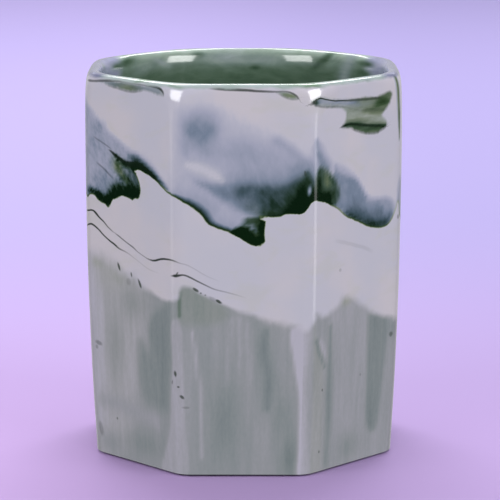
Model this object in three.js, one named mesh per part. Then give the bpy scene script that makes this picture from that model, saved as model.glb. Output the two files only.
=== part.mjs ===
// A pen holder of marbled clay: an eight-sided cup with softly rounded edges, a full round lip,
// a gentle belly and a dry foot ring. Millimetres, +Z up, the origin at the middle of the foot,
// one flat side facing -Y.

import * as THREE from "three";

// Overall sizes
const HEIGHT = 100;
const FOOT_ACROSS_FLATS = 76.8;
const BELLY_ACROSS_FLATS = 81;
const LIP_ACROSS_FLATS = 80.6;
const BELLY_HEIGHT = 80;
const BELLY_CURVE = 2.2; // 1 would be a straight taper from the belly down to the foot
const LIP_CURVE = 2; // the same, from the belly up to the lip

// Thicknesses
const WALL = 3.8;
const FLOOR = 4;
const FOOT_HEIGHT = 1.5;
const FOOT_WIDTH = 7;

// Roundings
const EDGE_ROUND = 6;
const LIP_EDGE_ROUND = 10.5;
const LIP_EDGE_BLEND = 7; // over this height the upright edges soften towards the lip
const WELL_EDGE_ROUND = 26; // the well is far rounder than the outside, as a turned well is
const COVE = 5; // inside, where the wall runs into the floor
const FOOT_ROUND = 0.8;

// How finely the curves are cut
const SIDES = 8;
const CORNER_STEPS = 3;
const WALL_STEPS = 9;
const LIP_STEPS = 8;
const COVE_STEPS = 5;
const FOOT_STEPS = 3;

// Heights that follow from the sizes above
const floorTop = FOOT_HEIGHT + FLOOR;
const lipRadius = WALL / 2;
const lipCentre = HEIGHT - lipRadius;
const coveTop = floorTop + COVE;

// Half the distance across the flats of the outside, at a height.
function outerApothem(height) {
  const belly = BELLY_ACROSS_FLATS / 2;
  if (height < BELLY_HEIGHT) {
    const down = (BELLY_HEIGHT - height) / BELLY_HEIGHT;
    return belly - (belly - FOOT_ACROSS_FLATS / 2) * down ** BELLY_CURVE;
  }
  const up = (height - BELLY_HEIGHT) / (HEIGHT - BELLY_HEIGHT);
  return belly - (belly - LIP_ACROSS_FLATS / 2) * up ** LIP_CURVE;
}

// The radius of the upright edges outside, at a height.
function outerRound(height) {
  const share = THREE.MathUtils.smoothstep(height, lipCentre - LIP_EDGE_BLEND, lipCentre);
  return THREE.MathUtils.lerp(EDGE_ROUND, LIP_EDGE_ROUND, share);
}

// The same on the lip, where most of the change to the round well happens over the crest.
function lipRound(turn) {
  const share = THREE.MathUtils.smoothstep(turn, 0.3 * Math.PI, 0.7 * Math.PI);
  return THREE.MathUtils.lerp(outerRound(lipCentre), WELL_EDGE_ROUND, share);
}

// Numbers from start to end, in equal steps, both ends included.
function steps(start, end, count) {
  return Array.from({ length: count + 1 }, (_, i) => start + ((end - start) * i) / count);
}

// One level of a solid: an octagon with rounded corners, its points running anticlockwise from above.
function ring(height, apothem, round) {
  const halfCorner = Math.PI / SIDES;
  const toArcCentre = (apothem - round) / Math.cos(halfCorner);
  const outline = new THREE.Shape();
  for (let corner = 0; corner < SIDES; corner++) {
    const direction = (2 * corner + 1) * halfCorner;
    outline.absarc(
      toArcCentre * Math.cos(direction),
      toArcCentre * Math.sin(direction),
      round,
      direction - halfCorner,
      direction + halfCorner,
    );
  }
  return outline.getPoints(CORNER_STEPS).map((p) => new THREE.Vector3(p.x, p.y, height));
}

// The two triangles between each pair of neighbouring points of a lower ring and the next one.
function bandTriangles(lower, upper, count) {
  const triangles = [];
  for (let i = 0; i < count; i++) {
    const next = (i + 1) % count;
    triangles.push(lower + i, lower + next, upper + next);
    triangles.push(lower + i, upper + next, upper + i);
  }
  return triangles;
}

function geometryOf(points, triangles) {
  const geometry = new THREE.BufferGeometry().setFromPoints(points);
  geometry.setIndex(triangles);
  geometry.computeVertexNormals();
  return geometry;
}

// A hollow solid: rings up the outside, down the inside, and back to the first one.
function tubeOf(rings) {
  const count = rings[0].length;
  const triangles = rings.flatMap((_, i) =>
    bandTriangles(i * count, ((i + 1) % rings.length) * count, count),
  );
  return geometryOf(rings.flat(), triangles);
}

// A full solid: rings from the bottom up, with a flat face below and above.
function slabOf(rings) {
  const count = rings[0].length;
  const last = (rings.length - 1) * count;
  const points = rings.flat();
  const below = points.push(new THREE.Vector3(0, 0, rings[0][0].z)) - 1;
  const above = points.push(new THREE.Vector3(0, 0, rings.at(-1)[0].z)) - 1;
  const triangles = rings.slice(1).flatMap((_, i) => bandTriangles(i * count, (i + 1) * count, count));
  for (let i = 0; i < count; i++) {
    const next = (i + 1) % count;
    triangles.push(below, next, i);
    triangles.push(above, last + i, last + next);
  }
  return geometryOf(points, triangles);
}

// The wall stands on the floor. Its lip is a full half round, and a cove leads from its inside
// down onto the floor.
function wallGeometry() {
  const outside = steps(floorTop, lipCentre, WALL_STEPS).map((height) =>
    ring(height, outerApothem(height), outerRound(height)),
  );
  const lipMiddle = outerApothem(lipCentre) - lipRadius;
  const lip = steps(0, Math.PI, LIP_STEPS)
    .slice(1, -1)
    .map((turn) =>
      ring(
        lipCentre + lipRadius * Math.sin(turn),
        lipMiddle + lipRadius * Math.cos(turn),
        lipRound(turn),
      ),
    );
  const inside = steps(lipCentre, coveTop, WALL_STEPS).map((height) =>
    ring(height, outerApothem(height) - WALL, WELL_EDGE_ROUND),
  );
  const coveMiddle = outerApothem(coveTop) - WALL - COVE;
  const cove = steps(0, Math.PI / 2, COVE_STEPS)
    .slice(1)
    .map((turn) =>
      ring(coveTop - COVE * Math.sin(turn), coveMiddle + COVE * Math.cos(turn), WELL_EDGE_ROUND),
    );
  return tubeOf([...outside, ...lip, ...inside, ...cove]);
}

// The floor carries the wall and follows the outside of the cup.
function floorGeometry() {
  return slabOf(
    [FOOT_HEIGHT, floorTop].map((height) => ring(height, outerApothem(height), outerRound(height))),
  );
}

// The foot ring is what the cup stands on, and its outer edge is sponged round.
function footGeometry() {
  const outer = outerApothem(FOOT_HEIGHT);
  const turned = steps(0, Math.PI / 2, FOOT_STEPS).map((turn) =>
    ring(
      FOOT_ROUND * (1 - Math.cos(turn)),
      outer - FOOT_ROUND * (1 - Math.sin(turn)),
      EDGE_ROUND,
    ),
  );
  return tubeOf([
    ...turned,
    ring(FOOT_HEIGHT, outer, EDGE_ROUND),
    ring(FOOT_HEIGHT, outer - FOOT_WIDTH, EDGE_ROUND),
    ring(0, outer - FOOT_WIDTH, EDGE_ROUND),
  ]);
}

// Both clays are near white with a lavender cast; the glaze makes all but the foot shine.
const glazedClay = new THREE.MeshStandardMaterial({ color: 0xb9b6c4, roughness: 0.12, metalness: 0 });
const glazedGreenClay = new THREE.MeshStandardMaterial({ color: 0x5d7264, roughness: 0.12, metalness: 0 });
const bareClay = new THREE.MeshStandardMaterial({ color: 0xc9c4ba, roughness: 0.85, metalness: 0 });

const penHolder = new THREE.Group();
for (const [name, geometry, material] of [
  ["cup_wall", wallGeometry(), glazedClay],
  ["cup_floor", floorGeometry(), glazedGreenClay],
  ["foot_ring", footGeometry(), bareClay],
]) {
  const mesh = new THREE.Mesh(geometry, material);
  mesh.name = name;
  penHolder.add(mesh);
}

export default penHolder;
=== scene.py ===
# %% [markdown]
# A marbled pen holder
#
# The real thing is one fired piece: an eight-sided cup of white clay with blue-grey and dark green clay
# folded into it, under a clear glossy glaze. It bellies out a little towards the top, its lip is a full
# round, and it stands on a low foot that is free of glaze. We build the glazed cup as one skin, the bare
# foot as a second piece, and then spend most of the lesson on the marbling, because that is what the eye
# sees first.

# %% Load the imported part
import math

import bmesh
import bpy
import numpy as np
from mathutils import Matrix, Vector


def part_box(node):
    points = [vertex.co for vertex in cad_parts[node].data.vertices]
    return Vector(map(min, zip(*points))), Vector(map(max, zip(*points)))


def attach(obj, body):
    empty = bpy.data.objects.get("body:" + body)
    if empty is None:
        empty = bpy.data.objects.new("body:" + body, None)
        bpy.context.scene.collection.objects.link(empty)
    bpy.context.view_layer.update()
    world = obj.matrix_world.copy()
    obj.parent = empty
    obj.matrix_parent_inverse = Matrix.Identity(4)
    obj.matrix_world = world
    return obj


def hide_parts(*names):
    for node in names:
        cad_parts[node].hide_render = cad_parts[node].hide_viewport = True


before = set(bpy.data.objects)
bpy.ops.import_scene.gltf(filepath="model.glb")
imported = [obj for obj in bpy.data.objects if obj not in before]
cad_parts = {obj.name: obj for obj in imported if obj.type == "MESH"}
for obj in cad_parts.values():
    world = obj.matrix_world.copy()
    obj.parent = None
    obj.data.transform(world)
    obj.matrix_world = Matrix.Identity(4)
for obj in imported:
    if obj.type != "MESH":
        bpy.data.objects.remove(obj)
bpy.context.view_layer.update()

print("nodes of the part:", sorted(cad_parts))

# %% [markdown]
# Sizes
#
# Everything is in metres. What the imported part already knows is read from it, so this skin can't drift
# away from the solids. The few sizes that a box can't tell, such as the wall's thickness, are named here.

# %% Sizes of the cup
MM = 0.001
wall_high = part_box("cup_wall")[1]
floor_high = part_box("cup_floor")[1]
foot_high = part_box("foot_ring")[1]

TOP = wall_high.z
BELLY = wall_high.y
FLOOR_TOP = floor_high.z
FOOT_TOP = foot_high.z

FOOT_HALF = 38.4 * MM  # half the distance across the flats, at the ground
LIP_HALF = 40.3 * MM  # and at the lip
BELLY_HEIGHT = 80 * MM
BELLY_CURVE = 2.2
WALL = 3.8 * MM
EDGE_ROUND = 6 * MM
LIP_EDGE_ROUND = 10.5 * MM
WELL_EDGE_ROUND = 26 * MM
LIP_EDGE_BLEND = 7 * MM
COVE = 5 * MM
FOOT_WIDTH = 7 * MM


def apothem(height):
    """Half the distance across the flats of the outside, at a height."""
    if height < BELLY_HEIGHT:
        return BELLY - (BELLY - FOOT_HALF) * ((BELLY_HEIGHT - height) / BELLY_HEIGHT) ** BELLY_CURVE
    return BELLY - (BELLY - LIP_HALF) * ((height - BELLY_HEIGHT) / (TOP - BELLY_HEIGHT)) ** 2


def smooth_step(low, high, value):
    """0 below low, 1 above high, and an S-shaped rise between. It takes numbers and arrays alike."""
    share = np.clip((value - low) / (high - low), 0, 1)
    return share * share * (3 - 2 * share)


print(f"cup {2 * BELLY / MM:.1f} mm across the flats and {TOP / MM:.1f} mm high")

# %% [markdown]
# The outline of one level
#
# Cut the cup at any height and you see an octagon with rounded corners. A potter would throw nothing here:
# such a cup is pressed or cast in a mould, which is why every level has the same kind of outline. So one
# function gives one point of that outline, and the whole skin is levels of it, stacked.

# %% One point of the outline
SIDES = 8
FLAT_STEPS = 7
CORNER_STEPS = 5
PER_SIDE = FLAT_STEPS + CORNER_STEPS
RING = SIDES * PER_SIDE
TURN = math.tau / SIDES


def outline_point(place, half_width, corner_round):
    """Point number place of a level: its x, its y, and how far it is along the outline from a corner."""
    side, step = divmod(place, PER_SIDE)
    straight = (half_width - corner_round) * math.tan(TURN / 2)
    if step <= FLAT_STEPS:
        out, along = half_width, straight * (2 * step / FLAT_STEPS - 1)
        from_corner = corner_round * TURN / 2 + straight - abs(along)
    else:
        angle = (step - FLAT_STEPS) / CORNER_STEPS * TURN
        out = half_width - corner_round + corner_round * math.cos(angle)
        along = straight + corner_round * math.sin(angle)
        from_corner = corner_round * abs(angle - TURN / 2)
    facing = side * TURN - math.pi / 2  # side 0 faces -Y
    x = out * math.cos(facing) - along * math.sin(facing)
    y = out * math.sin(facing) + along * math.cos(facing)
    return x, y, from_corner


FIRST_PLACE = (FLAT_STEPS + 1) // 2  # the first point past the middle of the side that faces -Y
print(RING, "points on each level")

# %% [markdown]
# Stacking the levels
#
# In the viewport you would extrude the ring with E and scale it with S, again and again, up the outside,
# over the lip and down the inside. Here the extrude operator makes each new ring, and a helper sets its
# points on the outline of its level. That keeps the measured taper and lets the corners soften at the lip,
# which a plain scale could not do.

# %% Helpers that stack rings


def start_ring(name, spots):
    """A new object whose mesh is one ring of edges, on the given spots."""
    bpy.ops.object.select_all(action="DESELECT")
    bpy.ops.mesh.primitive_circle_add(vertices=RING, radius=BELLY, fill_type="NOTHING")
    bpy.context.object.name = name
    bpy.ops.object.mode_set(mode="EDIT")
    place_ring(spots)


def place_ring(spots):
    """Sets the selected ring's points on the spots, in their order round the axis."""
    mesh = bmesh.from_edit_mesh(bpy.context.object.data)
    ring = [v for v in mesh.verts if v.select]
    ring.sort(key=lambda v: (math.atan2(v.co.y, v.co.x) + math.pi / 2) % math.tau)
    for vertex, spot in zip(ring, spots[FIRST_PLACE:] + spots[:FIRST_PLACE]):
        vertex.co = spot
    bmesh.update_edit_mesh(bpy.context.object.data)


def next_ring(spots, crease=0.0):
    """Extrudes the selected ring to new spots. A crease keeps its edge crisp under the subdivision."""
    bpy.ops.mesh.extrude_edges_move()
    place_ring(spots)
    bpy.ops.transform.edge_crease(value=-1)  # an extruded edge has taken over the crease of the last one
    if crease:
        bpy.ops.transform.edge_crease(value=crease)


def close_to_middle():
    """Fills the selected ring with a fan of triangles."""
    bpy.ops.mesh.extrude_edges_move()
    bpy.ops.mesh.merge(type="CENTER")


def level_spots(height, half_width, corner_round):
    """The spots of a level ring."""
    spots = [outline_point(place, half_width, corner_round) for place in range(RING)]
    return [(x, y, height) for x, y, _ in spots]


# %% [markdown]
# The lip
#
# Outside, on the flats, the lip is a plain quarter round. At the corners the maker's sponge has taken more
# off, so there the rounding reaches further down. Inside it runs gently into the well, all the way round.
# Those pinched corners are what catch the bright three-cornered reflections of the studio lamps, so they
# are worth modelling.

# %% Spots of the wall and the lip
LIP_RADIUS = WALL / 2
CORNER_LIP = 6.5 * MM  # how far down the rounding reaches at a corner, outside
WELL_LIP = 4 * MM  # how far down it reaches inside, all the way round
CORNER_REACH = 4.5 * MM  # how far along the outline that is felt
GLAZE_EDGE = 0.6 * MM  # the glaze ends this high above the ground
GLAZE_STEP = 0.7 * MM  # and stands this far proud of the bare foot
OUTER_ROWS = 31
LIP_ROWS = 10
INNER_SHARES = (0, 0.013, 0.03, 0.06, 0.12, 0.25, 0.48, 0.74, 1)


def lip_depth(place, deepest):
    """How far down the rounding reaches at a point, where deepest is its reach at a corner."""
    from_corner = outline_point(place, LIP_HALF, LIP_EDGE_ROUND)[2]
    return LIP_RADIUS + (deepest - LIP_RADIUS) * math.exp(-((from_corner / CORNER_REACH) ** 2))


def edge_round(height):
    """The radius of the upright edges outside."""
    lip_start = TOP - LIP_RADIUS
    share = smooth_step(lip_start - LIP_EDGE_BLEND, lip_start, height)
    return EDGE_ROUND + (LIP_EDGE_ROUND - EDGE_ROUND) * float(share)


def outer_spots(share):
    """Row of the outside: share is 0 at the glaze's edge and 1 where the lip's rounding starts."""
    spots = []
    for place in range(RING):
        depth = lip_depth(place, CORNER_LIP)
        height = GLAZE_EDGE + share * (TOP - depth - GLAZE_EDGE)
        x, y, _ = outline_point(place, apothem(height), edge_round(height))
        spots.append((x, y, height))
    return spots


def lip_spots(turn):
    """Row of the lip: turn is 0 outside, a quarter turn at the crest and a half turn inside."""
    spots = []
    for place in range(RING):
        depth = lip_depth(place, CORNER_LIP) if turn < math.pi / 2 else WELL_LIP
        start = apothem(TOP - depth)
        half_width = start - LIP_RADIUS + LIP_RADIUS * math.cos(turn)
        outer_round = edge_round(TOP - depth)
        inwards = float(smooth_step(0.3 * math.pi, 0.7 * math.pi, turn))
        corner_round = outer_round + (WELL_EDGE_ROUND - outer_round) * inwards
        x, y, _ = outline_point(place, half_width, corner_round)
        spots.append((x, y, TOP - depth + depth * math.sin(turn)))
    return spots


def inner_spots(share):
    """Row of the inside: share is 0 under the lip and 1 where the cove starts."""
    spots = []
    for place in range(RING):
        height = TOP - WELL_LIP + share * (FLOOR_TOP + COVE - TOP + WELL_LIP)
        x, y, _ = outline_point(place, apothem(height) - WALL, WELL_EDGE_ROUND)
        spots.append((x, y, height))
    return spots


# %% The cup: outside, lip and inside
start_ring("cup", outer_spots(0))
bpy.ops.transform.edge_crease(value=1)
for row in range(1, OUTER_ROWS + 1):
    next_ring(outer_spots(row / OUTER_ROWS))
for row in range(1, LIP_ROWS):
    next_ring(lip_spots(math.pi * row / LIP_ROWS))
for share in INNER_SHARES:
    next_ring(inner_spots(share))
print("wall and lip:", len(bmesh.from_edit_mesh(bpy.context.object.data).faces), "faces")

# %% [markdown]
# The floor
#
# A cove, the quarter round that a finger or a sponge leaves, leads from the wall to the floor. The floor is
# a few shrinking rings that close in the middle. Flat ground hides that pole.

# %% The cove and the floor
COVE_ROWS = 4
FLOOR_RINGS = (0.75, 0.4, 0.12)
cove_middle = apothem(FLOOR_TOP + COVE) - WALL - COVE
for row in range(1, COVE_ROWS + 1):
    angle = math.pi / 2 * row / COVE_ROWS
    cove_height = FLOOR_TOP + COVE - COVE * math.sin(angle)
    next_ring(level_spots(cove_height, cove_middle + COVE * math.cos(angle), WELL_EDGE_ROUND))
for share in FLOOR_RINGS:
    next_ring(level_spots(FLOOR_TOP, cove_middle * share, WELL_EDGE_ROUND * share))
close_to_middle()

# %% [markdown]
# The underside
#
# The glaze stops just above the ground, in a fine step where the potter wiped the foot. Under the cup the
# skin goes up behind the foot ring and closes across the recess. The open ring at the bottom is the only
# boundary left in the mesh, so one selection operator finds it.

# %% The underside
bpy.ops.mesh.select_all(action="DESELECT")
bpy.ops.mesh.select_non_manifold()
foot_half = apothem(FOOT_TOP) - GLAZE_STEP
next_ring(level_spots(GLAZE_EDGE, foot_half, EDGE_ROUND), crease=1)
next_ring(level_spots(FOOT_TOP, foot_half, EDGE_ROUND), crease=1)
for share in (0.8, *FLOOR_RINGS):
    next_ring(level_spots(FOOT_TOP, foot_half * share, EDGE_ROUND * share))
close_to_middle()
bpy.ops.mesh.select_all(action="SELECT")
bpy.ops.mesh.normals_make_consistent(inside=False)
bpy.ops.object.mode_set(mode="OBJECT")
cup = bpy.context.object

# %% [markdown]
# Making it smooth
#
# Two rounds of subdivision turn the rings into a surface without facets. Then the faintest unevenness,
# a twentieth of a millimetre, bends the reflections a little, as they bend on any pressed pot: a perfectly
# true surface looks like plastic.

# %% Subdivide the cup and make it a little uneven
SUBDIVISIONS = 2
UNEVENNESS = 0.12 * MM
UNEVENNESS_SIZE = 26 * MM


def apply_subdivision(piece):
    smoother = piece.modifiers.new("glaze_smooth", "SUBSURF")
    smoother.levels = SUBDIVISIONS
    smoother.render_levels = SUBDIVISIONS
    bpy.context.view_layer.objects.active = piece
    bpy.ops.object.modifier_apply(modifier=smoother.name)


def apply_unevenness(piece):
    swell = bpy.data.textures.new("pressed_clay_unevenness", "CLOUDS")
    swell.noise_scale = UNEVENNESS_SIZE
    swell.noise_depth = 1
    shift = piece.modifiers.new("unevenness", "DISPLACE")
    shift.texture = swell
    shift.texture_coords = "LOCAL"
    shift.mid_level = 0.5
    shift.strength = UNEVENNESS
    bpy.context.view_layer.objects.active = piece
    bpy.ops.object.modifier_apply(modifier=shift.name)


apply_subdivision(cup)
apply_unevenness(cup)
bpy.ops.object.shade_smooth_by_angle(angle=math.radians(40))
print("cup:", sum(len(p.vertices) - 2 for p in cup.data.polygons), "triangles")

# %% [markdown]
# The bare foot
#
# The cup stands on a ring of bare clay: unglazed, or it would have fused to the kiln shelf. It is the same
# outline again, four corners of a profile with the outer lower edge sponged round. The ring closes on
# itself, so the last step bridges its two open ends.

# %% The foot ring
FOOT_ROUND = 0.8 * MM
FOOT_ROWS = 3
foot_inner = apothem(FOOT_TOP) - FOOT_WIDTH
CLEAR = 0.02 * MM  # keeps the foot's top face from flickering through the cup's underside
start_ring("foot", level_spots(FOOT_TOP - CLEAR, foot_inner, EDGE_ROUND))
bpy.ops.transform.edge_crease(value=1)
next_ring(level_spots(0, foot_inner, EDGE_ROUND), crease=0.7)
for row in range(FOOT_ROWS + 1):
    angle = math.pi / 2 * row / FOOT_ROWS
    inset = FOOT_ROUND * (1 - math.sin(angle))
    height = FOOT_ROUND * (1 - math.cos(angle))
    next_ring(level_spots(height, foot_half - CLEAR - inset, EDGE_ROUND))
next_ring(level_spots(FOOT_TOP - CLEAR, foot_half - CLEAR, EDGE_ROUND), crease=1)
bpy.ops.mesh.select_all(action="DESELECT")
bpy.ops.mesh.select_non_manifold()
bpy.ops.mesh.bridge_edge_loops()
bpy.ops.mesh.select_all(action="SELECT")
bpy.ops.mesh.normals_make_consistent(inside=False)
bpy.ops.object.mode_set(mode="OBJECT")
foot = bpy.context.object
apply_subdivision(foot)
bpy.ops.object.shade_smooth_by_angle(angle=math.radians(40))
print("foot:", len(foot.data.polygons), "faces")

# %% [markdown]
# Unrolling the wall
#
# To lay out the marbling we unroll the wall, as you would wrap a sheet of paper round it and take it off
# again. Across is measured in millimetres round the outside from the middle of the front, to the right;
# up is the height above the ground, and it runs on over the lip and down the inside. Every point of the
# cup gets these two numbers.

# %% Across and up for every point
SIDE_WIDTH = 2 * BELLY / MM * math.tan(TURN / 2)
ROUND = SIDES * SIDE_WIDTH  # all the way round
HALF_ROUND = ROUND / 2


def points_of(piece):
    spots = np.empty(len(piece.data.vertices) * 3)
    piece.data.vertices.foreach_get("co", spots)
    return spots.reshape(-1, 3)


def across_of(spots):
    angle = np.arctan2(spots[:, 0], -spots[:, 1])
    side = np.round(angle / TURN)
    return side * SIDE_WIDTH + BELLY / MM * np.tan(angle - side * TURN)


def width_of(spots):
    """Half the width of the level that a point lies on, across the flats."""
    facing = np.arange(SIDES) * TURN
    return (spots[:, :1] * np.sin(facing) - spots[:, 1:2] * np.cos(facing)).max(axis=1)


cup_points = points_of(cup)
across = across_of(cup_points)
middle_of_wall = np.array([apothem(z) for z in cup_points[:, 2]]) - WALL / 2
behind = middle_of_wall - width_of(cup_points)
up = np.where(behind > 0, 2 * TOP - cup_points[:, 2], cup_points[:, 2]) / MM
print(f"round the outside: {ROUND:.1f} mm")

# %% [markdown]
# The marbling, part one: lines that the clays meet along
#
# Marbled clay is white clay with coloured clay folded in, so the colours lie in sheets, and where a sheet
# is cut you see a crisp dark edge on one side that fades softly on the other. We draw such an edge as a
# path of hand-placed points. Every point of the wall then learns how far it is from the path and on which
# side. That distance is smooth, so the material can later draw an edge much finer than the mesh.

# %% Helpers for paths
SPLINE_STEPS = 5
CHUNK = 6000


def smooth_path(points, closed=False):
    """A smooth path through points of any number of values each, as a Catmull-Rom spline."""
    knots = np.array(points, float)
    if closed:
        before, after = knots[-1:], knots[:2]
    else:
        before, after = 2 * knots[:1] - knots[1:2], 2 * knots[-1:] - knots[-2:-1]
    padded = np.concatenate([before, knots, after])
    path = []
    for a, b, c, d in zip(padded, padded[1:], padded[2:], padded[3:]):
        for t in np.arange(SPLINE_STEPS) / SPLINE_STEPS:
            path.append(0.5 * (2 * b + (c - a) * t + (2 * a - 5 * b + 4 * c - d) * t**2
                               + (3 * b - a - 3 * c + d) * t**3))
    path.append(padded[-2])
    return np.array(path)


def wrapped(distance):
    """A distance across, the short way round the cup."""
    return (distance + HALF_ROUND) % ROUND - HALF_ROUND


def along_path(path, across, up):
    """For every place: the distance to the path, its side, the crossings below, and the path's values."""
    start, step = path[:-1], np.diff(path, axis=0)
    length = np.maximum(step[:, 0] ** 2 + step[:, 1] ** 2, 1e-12)
    distance = np.empty(len(across))
    side = np.empty(len(across))
    below = np.empty(len(across), int)
    values = np.empty((len(across), path.shape[1] - 2))
    for first in range(0, len(across), CHUNK):
        part = slice(first, first + CHUNK)
        du = wrapped(across[part, None] - start[:, 0])
        dv = up[part, None] - start[:, 1]
        share = np.clip((du * step[:, 0] + dv * step[:, 1]) / length, 0, 1)
        gap = np.hypot(du - share * step[:, 0], dv - share * step[:, 1])
        nearest = gap.argmin(axis=1)
        rows = np.arange(len(nearest))
        distance[part] = gap[rows, nearest]
        turn = step[nearest, 0] * dv[rows, nearest] - step[nearest, 1] * du[rows, nearest]
        side[part] = np.where(turn >= 0, 1, -1)
        crossed = (du >= 0) != (du >= step[:, 0])
        rise = np.where(crossed, du / np.where(step[:, 0] == 0, 1, step[:, 0]), 0) * step[:, 1]
        below[part] = (crossed & (rise < dv)).sum(axis=1)
        near = share[rows, nearest, None]
        values[part] = start[nearest, 2:] + near * step[nearest, 2:]
    return distance, side, below, values


def near_path(path, margin=4):
    """Which points of the cup lie round a path, so that the others needn't be measured."""
    low, high = path[:, :2].min(axis=0) - margin, path[:, :2].max(axis=0) + margin
    middle = (low[0] + high[0]) / 2
    return (abs(wrapped(across - middle)) < middle - low[0]) & (up > low[1]) & (up < high[1])


def add_field(name, values):
    """Stores one number for every point of the cup, for the material to read."""
    field = cup.data.attributes.new(name, "FLOAT", "POINT")
    field.data.foreach_set("value", np.asarray(values, np.float32))


# %% [markdown]
# The long edge
#
# One edge runs all the way round the cup: coloured clay lies above it, white clay below. On the left of
# the front it is ragged, then it falls in a thin line that thickens to a dark point, rises over a hump
# and dips again on the right. Each point holds across, up, the width of the dark band along the edge, and
# how dark that band is. The back has the same edge, a little higher, and the sides join the two.

# %% The long edge, all the way round
BACK_RISE = 3.0
front_edge = [
    (-50, 68, 0.9, 0.9), (-48.6, 68.9, 0.9, 0.9), (-47, 68.9, 0.9, 0.95), (-45.4, 67.8, 1.1, 1),
    (-44, 67.3, 1.3, 1), (-43, 67.2, 1.4, 1), (-42.2, 66.6, 1.5, 1), (-41.3, 66.4, 1.5, 1),
    (-40.6, 67.5, 1.5, 1), (-39.7, 68.8, 1.5, 1), (-38, 69.2, 1.5, 1), (-37, 69.9, 1.5, 1),
    (-35.5, 70, 1.5, 1), (-33.5, 69.7, 1.5, 1), (-32.1, 69.2, 1.5, 1), (-31.6, 69.9, 1.3, 1),
    (-30.3, 70, 1.2, 1), (-29.7, 71, 1.1, 1), (-29.4, 72.3, 0.8, 1), (-29.6, 73.5, 0.6, 0.95),
    (-30.1, 74.8, 0.6, 0.85), (-31, 76.2, 0.8, 0.9), (-31.7, 77.1, 1.1, 1), (-30.5, 77.4, 1.6, 1),
    (-28.5, 77.1, 1.6, 1), (-26.5, 76.5, 1.4, 1), (-25, 75.9, 1.1, 1), (-23.5, 75.1, 0.8, 1),
    (-21.7, 74.1, 0.5, 1), (-20.2, 73, 0.45, 1), (-18.3, 72.3, 0.7, 1), (-16.5, 71.7, 1.2, 1),
    (-15, 70.8, 1.6, 1), (-13.5, 70.1, 2.0, 1), (-12, 69, 2.3, 1), (-10.5, 67.6, 2.4, 1),
    (-9.5, 66.2, 2.3, 1), (-8.5, 65.2, 2.0, 1), (-7, 64.5, 1.6, 1), (-5, 63.8, 1.4, 1),
    (-3, 63, 1.5, 1), (-1.5, 62.1, 1.9, 1), (0, 61.2, 2.4, 1), (1.5, 60.3, 3, 1),
    (3, 59.8, 2.6, 1), (4, 59.7, 2, 1), (4.3, 60.3, 1.5, 1), (5, 60.8, 1, 1),
    (5.5, 60.2, 1, 1), (5.3, 61.5, 1.2, 1), (5.2, 63, 1.2, 1), (5.4, 65.3, 1, 1),
    (5.3, 66.2, 0.6, 0.9), (4.2, 66.6, 0.35, 0.7), (4, 67.2, 0.35, 0.4), (6, 67.2, 0.5, 0.7),
    (7.5, 67.1, 0.6, 0.8), (9, 67.2, 0.6, 0.85), (10, 67.7, 0.7, 0.9), (11.5, 67.9, 0.8, 0.95),
    (13, 67.9, 0.9, 1), (14.3, 68, 1, 1), (15.3, 68.6, 1.2, 1), (16, 69.4, 1.2, 1),
    (16.6, 70.3, 1, 1), (17.5, 70.9, 0.9, 1), (18.5, 71, 0.9, 1), (20, 70.6, 0.9, 1),
    (22, 70, 0.9, 1), (24, 69, 0.7, 0.9), (26, 68, 0.5, 0.75), (28, 66.4, 0.5, 0.7),
    (30, 65.3, 1.1, 0.85), (32, 64.4, 1.3, 0.9), (35, 63.1, 1.6, 0.92), (38, 61.8, 2.2, 0.84),
    (40, 61.3, 2.6, 0.82), (43, 61, 2.6, 0.82), (45, 61.3, 1.8, 0.8), (46.3, 62.2, 0.9, 0.6),
    (47.3, 63.3, 0.6, 0.45), (48.5, 65.3, 0.4, 0.35),
]
right_edge = [
    (49.3, 66.8, 0.4, 0.3), (50.2, 63.4, 1.0, 0.7), (53, 61, 1.6, 0.9), (57, 61.5, 1.4, 0.9),
    (62, 64.5, 0.5, 0.7), (66, 70, 0.4, 0.9), (69, 74, 0.8, 1), (72, 73, 1.4, 1),
    (76, 67.5, 1.0, 0.9), (79, 66.5, 0.8, 0.6), (82, 69.5, 0.8, 0.7),
]
left_edge = [
    (-83, 69.5, 0.6, 0.5), (-80, 68.5, 0.9, 0.9), (-77, 65, 1.4, 1), (-73, 60.5, 2.0, 1), (-69, 59, 1.6, 1),
    (-66, 62, 0.8, 0.9), (-63.5, 66.5, 0.4, 0.8), (-60, 70.5, 0.3, 0.8), (-56, 72, 0.5, 0.9),
    (-53, 70, 0.8, 0.9),
]


def on_the_back(points):
    """The same points half way round the cup, and a little higher."""
    return [(a + HALF_ROUND, u + BACK_RISE, *more) for a, u, *more in points]


def onward(points, laps):
    return [(a + laps * ROUND, *more) for a, *more in points]


long_edge = front_edge + right_edge + on_the_back(front_edge) + onward(left_edge, 1)
long_path = smooth_path(long_edge + onward(front_edge[:1], 1))
distance, _, below, bands = along_path(long_path, across, up)
wash_edge = np.where((below % 2 == 1) | (up > TOP / MM), distance, -distance)
add_field("wash_edge", np.clip(wash_edge, -20, 40))
add_field("band_width", np.clip(bands[:, 0], 0.25, 4))
add_field("band_dark", np.clip(bands[:, 1], 0, 1))
print("long edge:", len(long_edge), "points by hand")

# %% [markdown]
# The marbling, part two: painting the soft colour
#
# Above the edge the colour is soft: blue-grey where a sheet of coloured clay is thin, slate and almost
# black green where it is thick. We lay it on as a painter would, with three tools. A wash fills an outline
# and has a soft edge. A brush follows a path and fades to both sides. A dab is one oval touch. Each stroke
# has a tone, from 0 for white clay to 1 for the darkest, and a green, from 0 for blue-grey to 1 for green.
# It pulls the colour under it towards its own, so the order of the strokes matters, as it does in paint.

# %% The painter's three tools


def stroke(points, margin, cover, tone, green):
    """A stroke, and the box outside which it does nothing."""
    places = np.array([point[:2] for point in points], float)
    return places.min(axis=0) - margin, places.max(axis=0) + margin, cover, tone, green


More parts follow.
